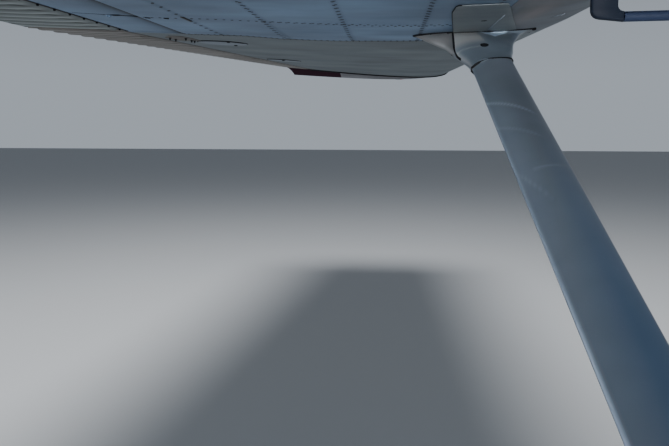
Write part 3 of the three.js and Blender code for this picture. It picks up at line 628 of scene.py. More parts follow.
def build_tip(paint):
    shares = np.sin(np.linspace(0, math.pi / 2, 22))
    loft_piece("tip_cap_smooth", [tip_ring(s) for s in shares], paint, replaced=["tip_cap"], sharp=50)


# Strut and its cuff, the fairing where it meets the wing

ALONG = (STRUT_FOOT - STRUT_TOP) / np.linalg.norm(STRUT_FOOT - STRUT_TOP)
STRUT_LENGTH = float(np.linalg.norm(STRUT_FOOT - STRUT_TOP))
AHEAD = np.array([1.0, 0, 0]) - ALONG[0] * ALONG
AHEAD /= np.linalg.norm(AHEAD)
ABOVE = -np.cross(AHEAD, ALONG)


def on_strut(distance, x, up):
    return STRUT_TOP + ALONG * distance + np.outer(x, AHEAD) + np.outer(up, ABOVE)


def strut_place(points):
    """Distance down the strut, and distances ahead of and above its line."""
    away = points - STRUT_TOP
    return away @ ALONG, away @ AHEAD, away @ ABOVE


def tube_depth(share):
    """Half the tube's depth at a share of its chord, round ahead and tapering behind."""
    front = np.sqrt(np.maximum(0, 1 - ((STRUT_WIDEST - share) / STRUT_WIDEST) ** 2))
    rear = 1 - ((share - STRUT_WIDEST) / (1 - STRUT_WIDEST)) ** 2
    depth = STRUT_THICKNESS / 2 * np.where(share < STRUT_WIDEST, front, rear)
    return np.maximum(depth, (share > 0.5) * TUBE_TAIL)


def tube_ring(distance):
    share = (1 - np.cos(np.linspace(0, math.pi, 28))) / 2
    depth = tube_depth(share)
    x = STRUT_CHORD / 2 - share * STRUT_CHORD
    return on_strut(distance, np.concatenate([x, x[:0:-1]]), np.concatenate([depth, -depth[:0:-1]]))


# The cuff's rings: distance down the strut, reach ahead, behind, above and below its line, turn from the
# skin's plane to the strut's, how pointed the ends are, how much wider the rear half is, and slant
CUFF_RINGS = (
    (-60, 182, 186, 80, 60, 0, 1.5, 0.35, 0),
    (-22, 178, 186, 80, 60, 0, 1.5, 0.35, 0),
    (-8, 140, 186, 80, 60, 0, 1.5, 0.35, 0),
    (0, 129, 186, 80, 60, 0, 1.5, 0.35, 0),
    (22, 115, 174, 60, 54, 0.1, 1.4, 0.3, 0),
    (55, 99, 148, 46, 44, 0.32, 1.2, 0.2, 0),
    (100, 82, 106, 38, 36, 0.62, 1.1, 0.1, 0),
    (150, 73, 88, 33, 31, 0.85, 1, 0, 3),
    (185, 68, 74, 31, 29, 0.95, 1, 0, 6),
    (250, 59, 60, 27, 26, 1, 1, 0, 10),
)
CUFF_STEPS, CUFF_ROWS, CUFF_SEAM_X, CUFF_SEAM = 144, 60, -82.0, 3.0
HUG_START, CUFF_END, CUFF_WALL, NOSE_EXTRA = 175.0, 250.0, 1.6, 1.0
SLANT_AHEAD, SLANT_BEHIND, END_REAR, END_BLUNTNESS = 3.0, -1.4, 0.64, 3.4
HOLE_DOWN, HOLE_X, HOLE_RADIUS, HOLE_FLOOR_UP = 176.0, -11.5, 10.0, 30.0


def cuff_end_depth(share):
    """Half depth of the fairing where it ends, close to the tube ahead and fuller behind."""
    behind = np.maximum(0, share - STRUT_WIDEST) / END_REAR
    full = (STRUT_THICKNESS / 2 + CUFF_WALL) * np.maximum(0, 1 - behind**END_BLUNTNESS) ** 0.5
    return np.where(share < STRUT_WIDEST, tube_depth(share) + CUFF_WALL, full)


def turned_towards(start, end, turn):
    """A direction part of the way from one to another."""
    way = start * (1 - turn) + end * turn
    return way / np.linalg.norm(way)


def cuff_ring(down, front, aft, above, below, turn, point, lean, slant, grow=0.0):
    level = np.array([0, -1.0, -DIHEDRAL_SLOPE])
    side = turned_towards(level / np.linalg.norm(level), ABOVE, turn)
    nose = turned_towards(np.array([1.0, 0, 0]), AHEAD, turn)
    centre = STRUT_TOP + (np.array([0, 0, -down]) if down < 0 else ALONG * down)
    angle = np.linspace(0, 2 * math.pi, CUFF_STEPS + 1)[:-1]
    c, s = np.cos(angle), np.sin(angle)
    width = np.where(s > 0, above + grow, -below - grow) * np.abs(s) ** point * (1 - lean * c)
    reach = (np.where(c > 0, front, aft) + grow) * c
    hug = fade(down, HUG_START, CUFF_END)
    width += (cuff_end_depth((1 - c) / 2) * np.clip(8 * s, -1, 1) - width) * hug
    reach += ((STRUT_CHORD / 2 + CUFF_WALL + NOSE_EXTRA * (c > 0)) * c - reach) * hug
    back = slant * np.where(c > 0, SLANT_AHEAD * c**3, SLANT_BEHIND * c**2)
    return centre + np.outer(reach, nose) + np.outer(width, side) - np.outer(back, ALONG)


def cuff_rings(grow=0.0):
    return [cuff_ring(*row, grow) for row in smooth_rows(CUFF_RINGS, CUFF_ROWS)]


def smooth_rows(rows, count):
    """Rows of numbers resampled along their first column by a smooth curve that doesn't overshoot."""
    rows = np.asarray(rows, float)
    x, values = rows[:, 0], rows[:, 1:]
    slope = np.diff(values, axis=0) / np.diff(x)[:, None]
    tangent = np.zeros_like(values)
    same = slope[:-1] * slope[1:] > 0
    tangent[1:-1][same] = 2 * (slope[:-1] * slope[1:])[same] / (slope[:-1] + slope[1:])[same]
    tangent[0], tangent[-1] = slope[0], slope[-1]
    new = np.linspace(x[0], x[-1], count)
    k = np.clip(np.searchsorted(x, new) - 1, 0, len(x) - 2)
    h = (x[k + 1] - x[k])[:, None]
    u = ((new - x[k])[:, None]) / h
    made = ((1 + 2 * u) * (1 - u) ** 2 * values[k] + u * (1 - u) ** 2 * h * tangent[k]
            + u * u * (3 - 2 * u) * values[k + 1] + u * u * (u - 1) * h * tangent[k + 1])
    return np.column_stack([new, made])


# Painted reflections across the tube: distance down at mid chord, slant, strength, half width, and reach aft
# and ahead
TUBE_REFLECTIONS = (
    (534, 1.15, 0.9, 5.0, -70, 20), (655, 1.1, 0.3, 5.0, -70, 15), (793, -0.1, 0.35, 4.0, -28, 30),
    (948, 3.2, 0.35, 8.0, -52, -24),
)
# How pale the tube's edges are, as painted highlights, in distances down the strut and strengths, and where
# they and the painted shade begin
REAR_EDGE = (300, 500, 800, 1200, 1500), (0.2, 0.5, 1.0, 2.0, 2.6)
FRONT_EDGE = (800, 1500), (0.3, 1.1)
EDGE_BAND, FRONT_BAND, REAR_HALF, REAR_HALF_DOWN = (47, 53), (46, 53), (-20, 45), (250, 600)
REAR_HALF_PALE, SHADE, SHADE_DOWN, REFLECTION_START, REFLECTION_END = 0.4, 0.5, (500, 1350), 8, 10


def strut_soil(points):
    """Painted highlights on the tube's edges and rear half, painted reflections across it, and painted shade
    on its lower part, on the upper face.
    """
    down, ahead, above = strut_place(points)
    pale = np.interp(down, *REAR_EDGE) * fade(-ahead, *EDGE_BAND)
    pale = pale + np.interp(down, *FRONT_EDGE) * fade(ahead, *FRONT_BAND)
    pale = pale + REAR_HALF_PALE * fade(-ahead, *REAR_HALF) * fade(down, *REAR_HALF_DOWN)
    for near, slope, strength, width, start, end in TUBE_REFLECTIONS:
        along = window(ahead, start, start + REFLECTION_START, end - REFLECTION_END, end + 2 * REFLECTION_END)
        pale = pale + streak(down - near - slope * ahead, strength, width) * along
    return (SHADE * fade(down, *SHADE_DOWN) - pale) * (above > 0)


# The fairing's pale areas, painted highlights and reflection, as distances down the strut against distances
# ahead of its line
FLANGE_DOWN, FLANGE_LIMIT = (-168, -128), ((100, 146), (-14, -4))
RIDGE_LINE = (-67, -52, -29, -5), (173, 176, 179, 178)
CORNER_LINE, CORNER_AHEAD = ((-4, 3, 28, 68, 92), (82, 98, 118, 55, 30)), (-102, -86)
FLANGE_PALE, RIDGE_PALE, CORNER_PALE, REAR_RIM_PALE, FRONT_RIM_PALE = 0.9, 0.6, 3.2, 0.7, 0.9
# The rims' painted highlights: height and half width of each, and where they show ahead of the strut's line
# and down it
REAR_RIM, REAR_RIM_BEHIND, RIDGE_WIDTH = (4, 6.0), (38, 55), 3.0
FRONT_RIM, FRONT_RIM_AHEAD, FRONT_RIM_DOWN = (3, 1.2), (60, 75), (-125, -95)
TAIL_EDGE, TAIL_EDGE_PALE, TAIL_EDGE_DOWN = (1, 6.0), -1.1, (55, 85)


def rim(above, height, width):
    return bell(above - height, width)


def cuff_soil(points):
    """A pale flange as painted reflection up to a pressed ridge, and painted highlights on the ridge, a
    corner ahead and the rims.
    """
    down, ahead, above = strut_place(points)
    flange = fade(-down, *FLANGE_DOWN) * fade(np.interp(down, *FLANGE_LIMIT) - ahead, 0, 5)
    ridge = bell(down - np.interp(ahead, *RIDGE_LINE), RIDGE_WIDTH) * fade(-ahead, 0, 15)
    corner = fade(np.interp(ahead, *CORNER_LINE) - down, 0, 6) * (ahead > CORNER_LINE[0][0])
    corner = corner * fade(-ahead, *CORNER_AHEAD)
    rear_rim = rim(above, *REAR_RIM) * fade(-ahead, *REAR_RIM_BEHIND)
    front_rim = rim(above, *FRONT_RIM) * fade(ahead, *FRONT_RIM_AHEAD) * fade(-down, *FRONT_RIM_DOWN)
    pale = (FLANGE_PALE * flange + RIDGE_PALE * ridge) * (above > 0)
    rims = REAR_RIM_PALE * rear_rim + FRONT_RIM_PALE * front_rim
    return np.clip(pale + rims, 0, 1) - CORNER_PALE * corner * (above > 0)


def tail_soil(points):
    """The tail piece has a painted highlight along its lower edge."""
    down, _, above = strut_place(points)
    return TAIL_EDGE_PALE * rim(above, *TAIL_EDGE) * fade(down, *TAIL_EDGE_DOWN)


# What cuts the fairing: the wing to half its chord with the space above it, the tube's room, and the hole
TRIM_STATIONS, TRIM_SHARE, TRIM_TOP, TRIM_AHEAD, TRIM_LIFT = (1400, BREAK_Y, 2400), 0.5, 60, 5, 0.1
TUBE_ROOM, TUBE_ROOM_DOWN, HOLE_CUT_UP = 1.008, (56, 290), (40, 20)
# The tube's rings: the first ones down the strut, where even ones begin, their step, and their end
TUBE_RINGS, TUBE_EVEN_FROM, TUBE_STEP, TUBE_STOP = (60, 140, 235), 300, 6, 98


def wing_trim(section):
    """An outline that fills the wing and the space above it, down to its lower skin."""
    lower = skin_line(section, np.linspace(0, TRIM_SHARE, 90) ** 1.5, -1, TRIM_LIFT)
    return np.concatenate([lower, [[TRIM_SHARE * section["chord"], TRIM_TOP], [-TRIM_AHEAD, TRIM_TOP]]])


def grown_tube(distance):
    ring = tube_ring(distance)
    centre = on_strut(distance, [0], [0])[0]
    return centre + (ring - centre) * TUBE_ROOM


def hole_ring(height):
    angle = np.linspace(0, 2 * math.pi, 33)[:-1]
    centre = on_strut(HOLE_DOWN, [HOLE_X], [height])[0]
    return centre + HOLE_RADIUS * (np.outer(np.cos(angle), AHEAD) + np.outer(np.sin(angle), ALONG))


def build_strut(paint):
    even = stations(TUBE_EVEN_FROM, STRUT_LENGTH - TUBE_STOP, TUBE_STEP)
    rings = [tube_ring(distance) for distance in (*TUBE_RINGS, *even)]
    loft_piece("strut_tube_smooth", rings, paint, replaced=["strut_tube"], sharp=60, soil=strut_soil)


def build_fairing(cuff_paint, tail_paint):
    """One hollow form, cut by the wing, the tube and the hole, and split in two across its seam."""
    whole = helper("cuff_whole", *loft_faces(cuff_rings()))
    wing = [section_ring(y, lambda s, _: wing_trim(s)) for y in TRIM_STATIONS]
    cutters = [helper("wing_part", *loft_faces(wing)),
               helper("tube_room", *loft_faces([grown_tube(down) for down in TUBE_ROOM_DOWN])),
               helper("fairing_hole", *loft_faces([hole_ring(up) for up in HOLE_CUT_UP]))]
    seam, across, up = CUFF_SEAM_X - CUFF_SEAM / 2, (0, 4000), (-800, 800)
    for name, reach, paint, soil in (
        ("strut_cuff", (-1000, seam + CUFF_SEAM), cuff_paint, cuff_soil),
        ("strut_cuff_tail", (seam, 1000), tail_paint, tail_soil),
    ):
        other = helper("other_side", *block(reach, across, up))
        finish_piece(f"{name}_shell", cut_away(whole, [*cutters, other]), paint, replaced=[name],
                     sharp=40, soil=soil)
        remove(other)
    remove(whole, *cutters)


# Sheets that lie on the skin: the doubler plate and the round covers

# Stations of the plate with the chord shares of its front and rear edge
PLATE_EDGES = np.array([
    (1439, 0.184, 0.237), (1444, 0.1795, 0.2415), (1455, 0.177, 0.2435),
    (1534, 0.166, 0.2437), (1666, 0.149, 0.2361), (1940, 0.113, 0.219),
])
PLATE_LOW, PLATE_HIGH, COVER_LOW, COVER_HIGH = 0.35, 1.9, -0.3, 1.6
# Station and chord share of each cover's middle
COVERS = ((2345.0, 0.70), (3423.0, 0.73))
COVER_RADIUS = 84.0


def skin_sheet(name, ys, front, rear, low, high):
    """A thin closed sheet along the lower skin, between two heights above it."""
    rings = []
    for y in ys:
        t = np.linspace(front(y), rear(y), 24)
        rings.append(section_ring(y, lambda s, _: np.concatenate(
            [skin_line(s, t, -1, low), skin_line(s, t, -1, high)[::-1]])))
    return helper(name, *loft_faces(rings))


def build_plate(paint):
    y, front, rear = PLATE_EDGES.T
    ys = [*y[:3], *stations(y[2], y[-1], 20)[1:]]
    plate = skin_sheet("plate_whole", ys, lambda v: np.interp(v, y, front), lambda v: np.interp(v, y, rear),
                       PLATE_LOW, PLATE_HIGH)
    fairing = helper("fairing_room", *loft_faces(cuff_rings(0.5)))
    finish_piece("strut_doubler_sheet", cut_away(plate, [fairing]), paint, replaced=["strut_doubler_plate"])
    remove(plate, fairing)


def build_covers(paint):
    for number, (y0, t0) in enumerate(COVERS, 1):
        reach = np.sin(np.linspace(-math.pi / 2, math.pi / 2, 25)) * (COVER_RADIUS - 0.2)
        half = lambda v: max(0.4, math.sqrt(max(0, COVER_RADIUS**2 - (v - y0) ** 2))) / chord_at(v)
        disc = skin_sheet("disc", y0 + reach, lambda v: t0 - half(v), lambda v: t0 + half(v),
                          COVER_LOW, COVER_HIGH)
        finish_piece(f"access_cover_{number}_disc", disc.data, paint, replaced=[f"access_cover_{number}"])
        remove(disc)


# Beads of black seal along joints, some also painted shadow, and a disc of painted shade in the fairing's
# hole

BEAD_SIDES = 6
# How far below the skin the bead at the wing runs, on the bare skin and on the plate
SKIN_BEAD_DROP, PLATE_BEAD_DROP = 0.8, 2.9
# How far the beads keep from the split's lower corner, on either side and along the edge, and the edge's end
CORNER_BARE, EDGE_BARE, EDGE_STOP = {"inboard": 14, "outboard": 48}, 10, 188
TIP_BEAD_RUN, TIP_BEAD_RADIUS = (0.002, 0.845), 8.0
# Radius of the bead at the wing and how much more it has at the tail, and radii of the split's beads
FOOT_BEAD, FOOT_BEAD_MORE, FOOT_BEAD_OVER, SPLIT_BEAD = 2.2, 0.7, 20, (2.8, 3.6)
# Distance ahead, radius and height of each screw along the fairing's foot
FOOT_SCREWS = ((177, 6.0, 6.0), (-37, 3.0, 3.4), (-88, 7.0, 6.0), (-139, 3.0, 3.4))


def bead_along(name, path, radius, material, closed=False, slot="dark_metal"):
    """A thin round bead along a path in space, of one radius or one for each point."""
    path = np.asarray(path, float)
    radii = np.broadcast_to(radius, len(path))
    ahead = np.roll(path, -1, 0) - np.roll(path, 1, 0) if closed else np.gradient(path, axis=0)
    ahead /= np.linalg.norm(ahead, axis=1)[:, None]
    angle = np.linspace(0, 2 * math.pi, BEAD_SIDES + 1)[:-1]
    side, rings = np.cross(ahead[0], [0.3, 0.2, 1.0]), []
    for point, along, reach in zip(path, ahead, radii):
        side = side - along * side.dot(along)
        side /= np.linalg.norm(side)
        up = np.cross(along, side)
        rings.append(point + reach * (np.outer(np.cos(angle), side) + np.outer(np.sin(angle), up)))
    points, faces = loft_faces(rings)
    if closed:
        last = (len(rings) - 1) * BEAD_SIDES
        faces = faces[:-2] + [(last + j, last + (j + 1) % BEAD_SIDES, (j + 1) % BEAD_SIDES, j)
                              for j in range(BEAD_SIDES)]
    return make_piece(name, points, faces, material, slot=slot, sharp=ALL_SMOOTH)


def eased(path):
    """A path with its corners rounded off and its ends kept."""
    for _ in range(3):
        path[1:-1] = (path[:-2] + 2 * path[1:-1] + path[2:]) / 4
    return path


def crossing(values, points):
    """The point where the values along a line of points first fall below zero."""
    for i in range(len(values) - 1):
        if values[i] > 0 >= values[i + 1]:
            return points[i] + (points[i + 1] - points[i]) * values[i] / (values[i] - values[i + 1])
    return None


def above_skin(points):
    """Height of points above the lower skin, negative below it."""
    return points[:, 2] - skin_height(points[:, 1], chord_share(points))


def fairing_foot(shell):
    """The line where the fairing meets the wing's skin, or the plate that lies on it."""
    depth = np.array([above_skin(ring) for ring in shell])
    foot = np.array([crossing(depth[:, j] + SKIN_BEAD_DROP, shell[:, j]) for j in range(CUFF_STEPS)])
    share = chord_share(foot)
    front, rear = (np.interp(foot[:, 1], PLATE_EDGES[:, 0], PLATE_EDGES[:, k]) for k in (1, 2))
    over_plate = (share > front) & (share < rear) & (foot[:, 1] < PLATE_EDGES[-1, 0])
    drop = np.where(over_plate, PLATE_BEAD_DROP, SKIN_BEAD_DROP)
    return np.array([crossing(depth[:, j] + drop[j], shell[:, j]) for j in range(CUFF_STEPS)])


def split_path(word, columns, rows, shell):
    """Down the split on one side of the fairing and, inboard, on along its rear edge, where the black bead
    is seal and painted shadow.
    """
    half = CUFF_STEPS // 2
    seam = [crossing(ring[columns, 0] - CUFF_SEAM_X, ring[columns]) for ring in shell]
    seam = [p for p in seam if p is not None and above_skin(p[None])[0] < -1]
    edge = [ring[half] for ring, row in zip(shell, rows)
            if row[0] < EDGE_STOP and ring[half, 0] > CUFF_SEAM_X]
    away = lambda path, bare: [p for p in path if np.linalg.norm(p - edge[0]) > bare][::3]
    path = away(seam, CORNER_BARE[word]) + (away(edge, EDGE_BARE) if word == "inboard" else [])
    return eased(np.array(path))


def build_fairing_seals_and_shade(black):
    rows = smooth_rows(CUFF_RINGS, 3 * CUFF_ROWS)
    shell = np.array([cuff_ring(*row) for row in rows])
    half = CUFF_STEPS // 2
    foot = fairing_foot(shell)
    behind = np.clip((CUFF_SEAM_X + FOOT_BEAD_OVER - foot[:, 0]) / (2 * FOOT_BEAD_OVER), 0, 1)
    bead_along("sealant_at_wing", foot, FOOT_BEAD + FOOT_BEAD_MORE * behind, black, closed=True)
    for word, columns in (("inboard", range(half + 1)), ("outboard", range(CUFF_STEPS, half - 1, -1))):
        path = split_path(word, [j % CUFF_STEPS for j in columns], rows, shell)
        bead_along(f"split_seal_and_shadow_{word}", path, np.linspace(*SPLIT_BEAD, len(path)), black)
    build_foot_screws(foot[:half], black)
    ahead, above = strut_place(shell[-1])[1:]
    gap = np.abs(above) - tube_depth(np.clip(0.5 - ahead / STRUT_CHORD, 0, 1))
    filled = shell[-1] - np.outer(np.sign(above) * gap / 2, ABOVE)
    bead_along("sealant_at_tube", filled, 1.4 + 0.2 * np.maximum(1, gap), black, closed=True)
    # A black disc inside the fairing's hole, as painted shade
    floor = ((0, -4), (HOLE_RADIUS + 1, -4), (HOLE_RADIUS + 1, 1.9), (0, 2))
    place = on_strut(HOLE_DOWN, [HOLE_X], [HOLE_FLOOR_UP])[0]
    make_piece("fairing_hole_shade_disc", *turned_part(floor, place, ABOVE), black, slot="dark_metal")


def build_foot_screws(foot, black):
    heads = []
    for x, radius, height in FOOT_SCREWS:
        near = min(foot, key=lambda p: abs(p[0] - x))
        profile = ((0, -2), (radius, -1.5), (radius, 0.6 * height), (0.7 * radius, 0.94 * height),
                   (0, height))
        t = float(chord_share(near[None])[0])
        heads.append(turned_part(profile, near, skin_normal(near[1], t, -1), 16))
    make_piece("fairing_screws", *gathered(heads), black, slot="dark_metal")


def build_tip_sealant(black):
    joint = section_ring(TIP_RIB_Y + SEAM_GAP / 2,
                         lambda s, _: skin_line(s, np.linspace(*TIP_BEAD_RUN, 60), -1, OUTER_LIFT))
    bead_along("sealant_at_tip", joint, TIP_BEAD_RADIUS, black)


# Marks, bolts and screws on the lower skin. Places are given as (station, share of the chord).

BOLTS = ((2188, 0.777), (2245, 0.780), (2184, 0.743), (2263, 0.750), (2281, 0.748))
BOLT = ((2.6, -4), (2.6, 6.6), (2.1, 8.6), (0.9, 9.4), (0, 9.5))
NUT = ((5.2, -2), (5.2, 2.6), (4.4, 3.4), (2.7, 3.4), (2.7, 0))
BOLT_LIFT, BOLT_SIDES, NUT_SIDES = -0.8, 12, 6
BOLT_PLATE = (((2120, 0.736), (2120, 0.762)), ((2190, 0.732), (2190, 0.788)),
              ((2298, 0.735), (2298, 0.7935)))
COVER_SCREWS = ((2270, 0.672), (2414, 0.684), (3391, 0.728), (3345, 0.716))
COVER_SCREW = ((0, 0.2), (6.5, 0.3), (6.2, 1.8), (4.5, 3.0), (0, 3.2))
DRAIN_SLOT = (((1645, 0.6340), (1645, 0.6370)), ((1722, 0.6340), (1722, 0.6370)))
DRAIN_RIM = (((1641, 0.6368), (1641, 0.6386)), ((1726, 0.6368), (1726, 0.6386)))
DRAIN_MARKS, DRAIN_MARK_HALF = ((1674, 0.6952), (1674, 0.6664)), 0.0028
AFT_RIB_GAP = ((1661, 0.7080), (1649, 0.7309), (1642, 0.7461), (1631, 0.7740), (1623, 0.7995))
AFT_RIB_SLOT = ((1648, 0.7258), (1639, 0.7325), (1640, 0.7405), (1643, 0.7492))
FLAP_LIP_SCREW = ((0, 0), (3.2, 0.2), (3.2, 4.6), (2.2, 6.0), (0, 6.4))
FLAP_LIP_SCREWS, FLAP_LIP_SHARE = 24, 0.8085
# Rows of the black strip of painted shade at the flap bay's lip
FLAP_LIP_GAP_SHADE = (((66, 0.8056), (66, 0.8111)), ((BREAK_Y, 0.8056), (BREAK_Y, 0.8111)))
PLUG, PLUG_PLACE = ((0, 0), (7.5, 0.1), (7.0, 0.7), (0, 0.8)), (1689, 0.1887)
PLATE_SCRATCH = ((1610, 0.1671), (1700, 0.1668), (1800, 0.1662), (1895, 0.1651))
# A painted glint where the nose's curve catches the light
NOSE_GLINT = ((1774, 0.0790), (1753, 0.0725), (1738, 0.0637))


def turned_part(profile, foot, axis, steps=24):
    """Points and faces of a body of revolution, its profile given as (radius, height) from bottom to top."""
    axis = np.asarray(axis, float) / np.linalg.norm(axis)
    side = np.cross(axis, [0.2, 0.9, 0.35])
    side /= np.linalg.norm(side)
    angle = np.linspace(0, 2 * math.pi, steps + 1)[:-1]
    around = np.outer(np.cos(angle), side) + np.outer(np.sin(angle), np.cross(axis, side))
    return loft_faces([np.asarray(foot) + axis * h + around * max(r, 0.02) for r, h in profile])


def on_skin(profile, y, t, lift, steps):
    """A turned part that stands on the lower skin."""
    return turned_part(profile, skin_point(y, t, -1, lift), skin_normal(y, t, -1), steps)


def skin_bead(name, spots, lift, radius, material, **options):
    """A bead along the lower skin."""
    return bead_along(name, [skin_point(y, t, -1, lift) for y, t in spots], radius, material, **options)


def gathered(parts):
    """Several closed meshes as one list of points and faces."""
    points, faces, start = [], [], 0
    for p, f in parts:
        points.append(p)
        faces += [tuple(k + start for k in face) for face in f]
        start += len(p)
    return np.concatenate(points), faces


def patch(name, rows, low, high, material, slot="wing_paint"):
    """A thin sheet on the lower skin across rows from front to rear, each from one place to another."""
    rings = []
    for (y0, t0), (y1, t1) in rows:
        y, t = np.linspace(y0, y1, 8), np.linspace(t0, t1, 8)
        spots = [[skin_point(v, u, -1, lift) for v, u in zip(y, t)] for lift in (low, high)]
        rings.append(np.array(spots[0] + spots[1][::-1]))
    return loft_piece(name, rings, material, slot=slot)


def build_bracket_bolts(black, brown):
    parts = []
    for y, t in BOLTS:
        parts += [on_skin(BOLT, y, t, BOLT_LIFT, BOLT_SIDES), on_skin(NUT, y, t, BOLT_LIFT, NUT_SIDES)]
    make_piece("bracket_bolts", *gathered(parts), black, slot="dark_metal")
    patch("bolt_plate", BOLT_PLATE, -1.4, 0.7, brown)


def build_cover_screws(black):
    parts = [on_skin(COVER_SCREW, y, t, 1.4, 16) for y, t in COVER_SCREWS]
    make_piece("cover_screws", *gathered(parts), black, slot="dark_metal")


def build_drain_marks(black, brown):
    patch("drain_slot", DRAIN_SLOT, -1.3, -0.35, black, "dark_metal")
    for number, (y, t) in enumerate(DRAIN_MARKS, 1):
        front, rear = t - DRAIN_MARK_HALF, t + DRAIN_MARK_HALF
        rows = (((y, front), (y + 6, front)), ((y - 7, rear), (y, rear)))
        patch(f"drain_mark_{number}", rows, -1.3, 0.9, black, "dark_metal")
    patch("drain_slot_rim", DRAIN_RIM, -1.3, 0.5, brown)


def build_aft_rib(black):
    # A dark line at the aft rib's gap, partly painted shadow, and a black lens of painted shade where the
    # rail's slot opens
    skin_bead("aft_rib_gap", AFT_RIB_GAP, -1.6, 1.3, black)
    skin_bead("aft_rib_slot", AFT_RIB_SLOT, -4.2, (3.2, 6.2, 6.2, 3.2), black)


def build_bay_lips(black, brown):
    """The flap bay's lip with its screws and a black strip of painted shade at its gap, and a brown strip of
    painted shade along the aileron bay's lip.
    """
    ys = [FLAP_BEAD_Y - BEAD_PITCH * (k + 0.5) for k in range(FLAP_LIP_SCREWS)]
    screws = [on_skin(FLAP_LIP_SCREW, y, FLAP_LIP_SHARE, -2.2, 12) for y in ys]
    make_piece("flap_lip_screws", *gathered(screws), black, slot="dark_metal")
    patch("flap_lip_gap_shade", FLAP_LIP_GAP_SHADE, -1.6, -0.2, black, "dark_metal")
    ys = stations(BREAK_Y + 4, TIP_RIB_Y - 6, 60)
    lip = [(y, along_taper(y, bay_lip(ROOT), bay_lip(TIP)) - 0.002) for y in ys]
    skin_bead("aileron_lip_gap_shade", lip, -0.6, 1.6, brown)


def build_cover_seals_and_shadows(black):
    angle = np.linspace(0, 2 * math.pi, 61)[:-1]
    for number, (y0, t0) in enumerate(COVERS, 1):
        ys = y0 + COVER_RADIUS * np.sin(angle)
        spots = zip(ys, t0 + COVER_RADIUS * np.cos(angle) / chord_at(ys))
        # A dark ring at each cover's joint, thicker on the inboard side as painted shadow of its gap
        thick = 1.5 + 1.1 * (np.sin(angle) < -0.3)
        skin_bead(f"cover_{number}_seal_and_shadow", spots, -0.2, thick, black, closed=True)


def build_plate_marks(black, pale):
    """The plug, the doubler plate's rear edge in painted shadow, the scratch on the plate, and a painted
    glint on the nose.
    """
    make_piece("plate_plug", *on_skin(PLUG, *PLUG_PLACE, 1.6, 24), black, slot="wing_paint")
    skin_bead("plate_edge_shadow", [(y, rear) for y, _, rear in PLATE_EDGES[::-1]], 0.8, 1.2, black)
    skin_bead("plate_scratch", PLATE_SCRATCH, PLATE_HIGH, 1.5, pale, slot="wing_paint")
    skin_bead("nose_glint", NOSE_GLINT, -0.3, 1.1, pale, slot="wing_paint")


# Rivets, set along paths by one node tree

HEAD_SIDES, HEAD_TOP = 8, 0.55


def heads_tree():
    """Cone-shaped heads at even spacing along paths, each turned to face away from the skin."""
    tree = bpy.data.node_groups.new("heads_on_paths", "GeometryNodeTree")
    for name, kind in (("Paths", "Geometry"), ("Spacing", "Float"), ("Radius", "Float"), ("Height", "Float"),
                       ("Finish", "Material")):
        tree.interface.new_socket(name=name, in_out="INPUT", socket_type=f"NodeSocket{kind}")
    tree.interface.new_socket(name="Heads", in_out="OUTPUT", socket_type="NodeSocketGeometry")
    start, end = tree.nodes.new("NodeGroupInput"), tree.nodes.new("NodeGroupOutput")
    curve, spread, place, head, real, finish = (tree.nodes.new(f"GeometryNode{kind}") for kind in (
        "MeshToCurve", "ResampleCurve", "InstanceOnPoints", "MeshCone", "RealizeInstances", "SetMaterial"))
    spread.mode = "LENGTH"
    head.inputs["Vertices"].default_value = HEAD_SIDES
    facing = tree.nodes.new("GeometryNodeInputNamedAttribute")
    facing.data_type = "FLOAT_VECTOR"
    facing.inputs["Name"].default_value = "facing"
    align = tree.nodes.new("FunctionNodeAlignRotationToVector")
    align.axis = "Z"
    narrow = tree.nodes.new("ShaderNodeMath")
    narrow.operation = "MULTIPLY"
    narrow.inputs[1].default_value = HEAD_TOP
    for source, output, target, place_in in (
        (start, "Paths", curve, "Mesh"), (curve, "Curve", spread, "Curve"),
        (start, "Spacing", spread, "Length"), (facing, "Attribute", align, "Vector"),
        (start, "Radius", head, "Radius Bottom"), (start, "Radius", narrow, 0),
        (narrow, 0, head, "Radius Top"), (start, "Height", head, "Depth"),
        (spread, "Curve", place, "Points"), (head, "Mesh", place, "Instance"),
        (align, "Rotation", place, "Rotation"), (place, "Instances", real, "Geometry"),
        (real, "Geometry", finish, "Geometry"), (start, "Finish", finish, "Material"),
        (finish, "Geometry", end, "Heads"),
    ):
        tree.links.new(source.outputs[output], target.inputs[place_in])
    return tree


def heads_piece(name, tree, paths, spacing, radius, height, material):
    """Heads at even spacing along paths, each a list of (point, normal) in millimetres."""
    points, normals, edges = [], [], []
    for path in paths:
        edges += [(len(points) + i, len(points) + i + 1) for i in range(len(path) - 1)]
        points += [p for p, _ in path]
        normals += [n for _, n in path]
    mesh = bpy.data.meshes.new(name)
    mesh.from_pydata((np.array(points) * MM).tolist(), edges, [])
    mesh.attributes.new("facing", "FLOAT_VECTOR", "POINT").data.foreach_set("vector", np.ravel(normals))
    guide = bpy.data.objects.new(f"{name}_guide", mesh)
    bpy.context.scene.collection.objects.link(guide)
    modifier = guide.modifiers.new("heads", "NODES")
    modifier.node_group = tree
    values = {"Spacing": spacing * MM, "Radius": radius * MM, "Height": height * MM, "Finish": material}
    for socket in tree.interface.items_tree:
        if socket.name in values:
            modifier[socket.identifier] = values[socket.name]
    made = evaluated_mesh(guide)
    remove(guide)
    return finish_piece(name, made, material, sharp=ALL_SMOOTH)


def skin_path(side, spots, lift):
    """A path on the skin through (y, share of chord) spots."""
    return [(skin_point(y, t, side, lift), skin_normal(y, t, side)) for y, t in spots]


def seam_station(t):
    """Where the inboard skin ends, on the nose and box or behind the rear spar."""
    return float(joint_station(t)) if t < REAR_SPAR else AFT_JOINT_Y


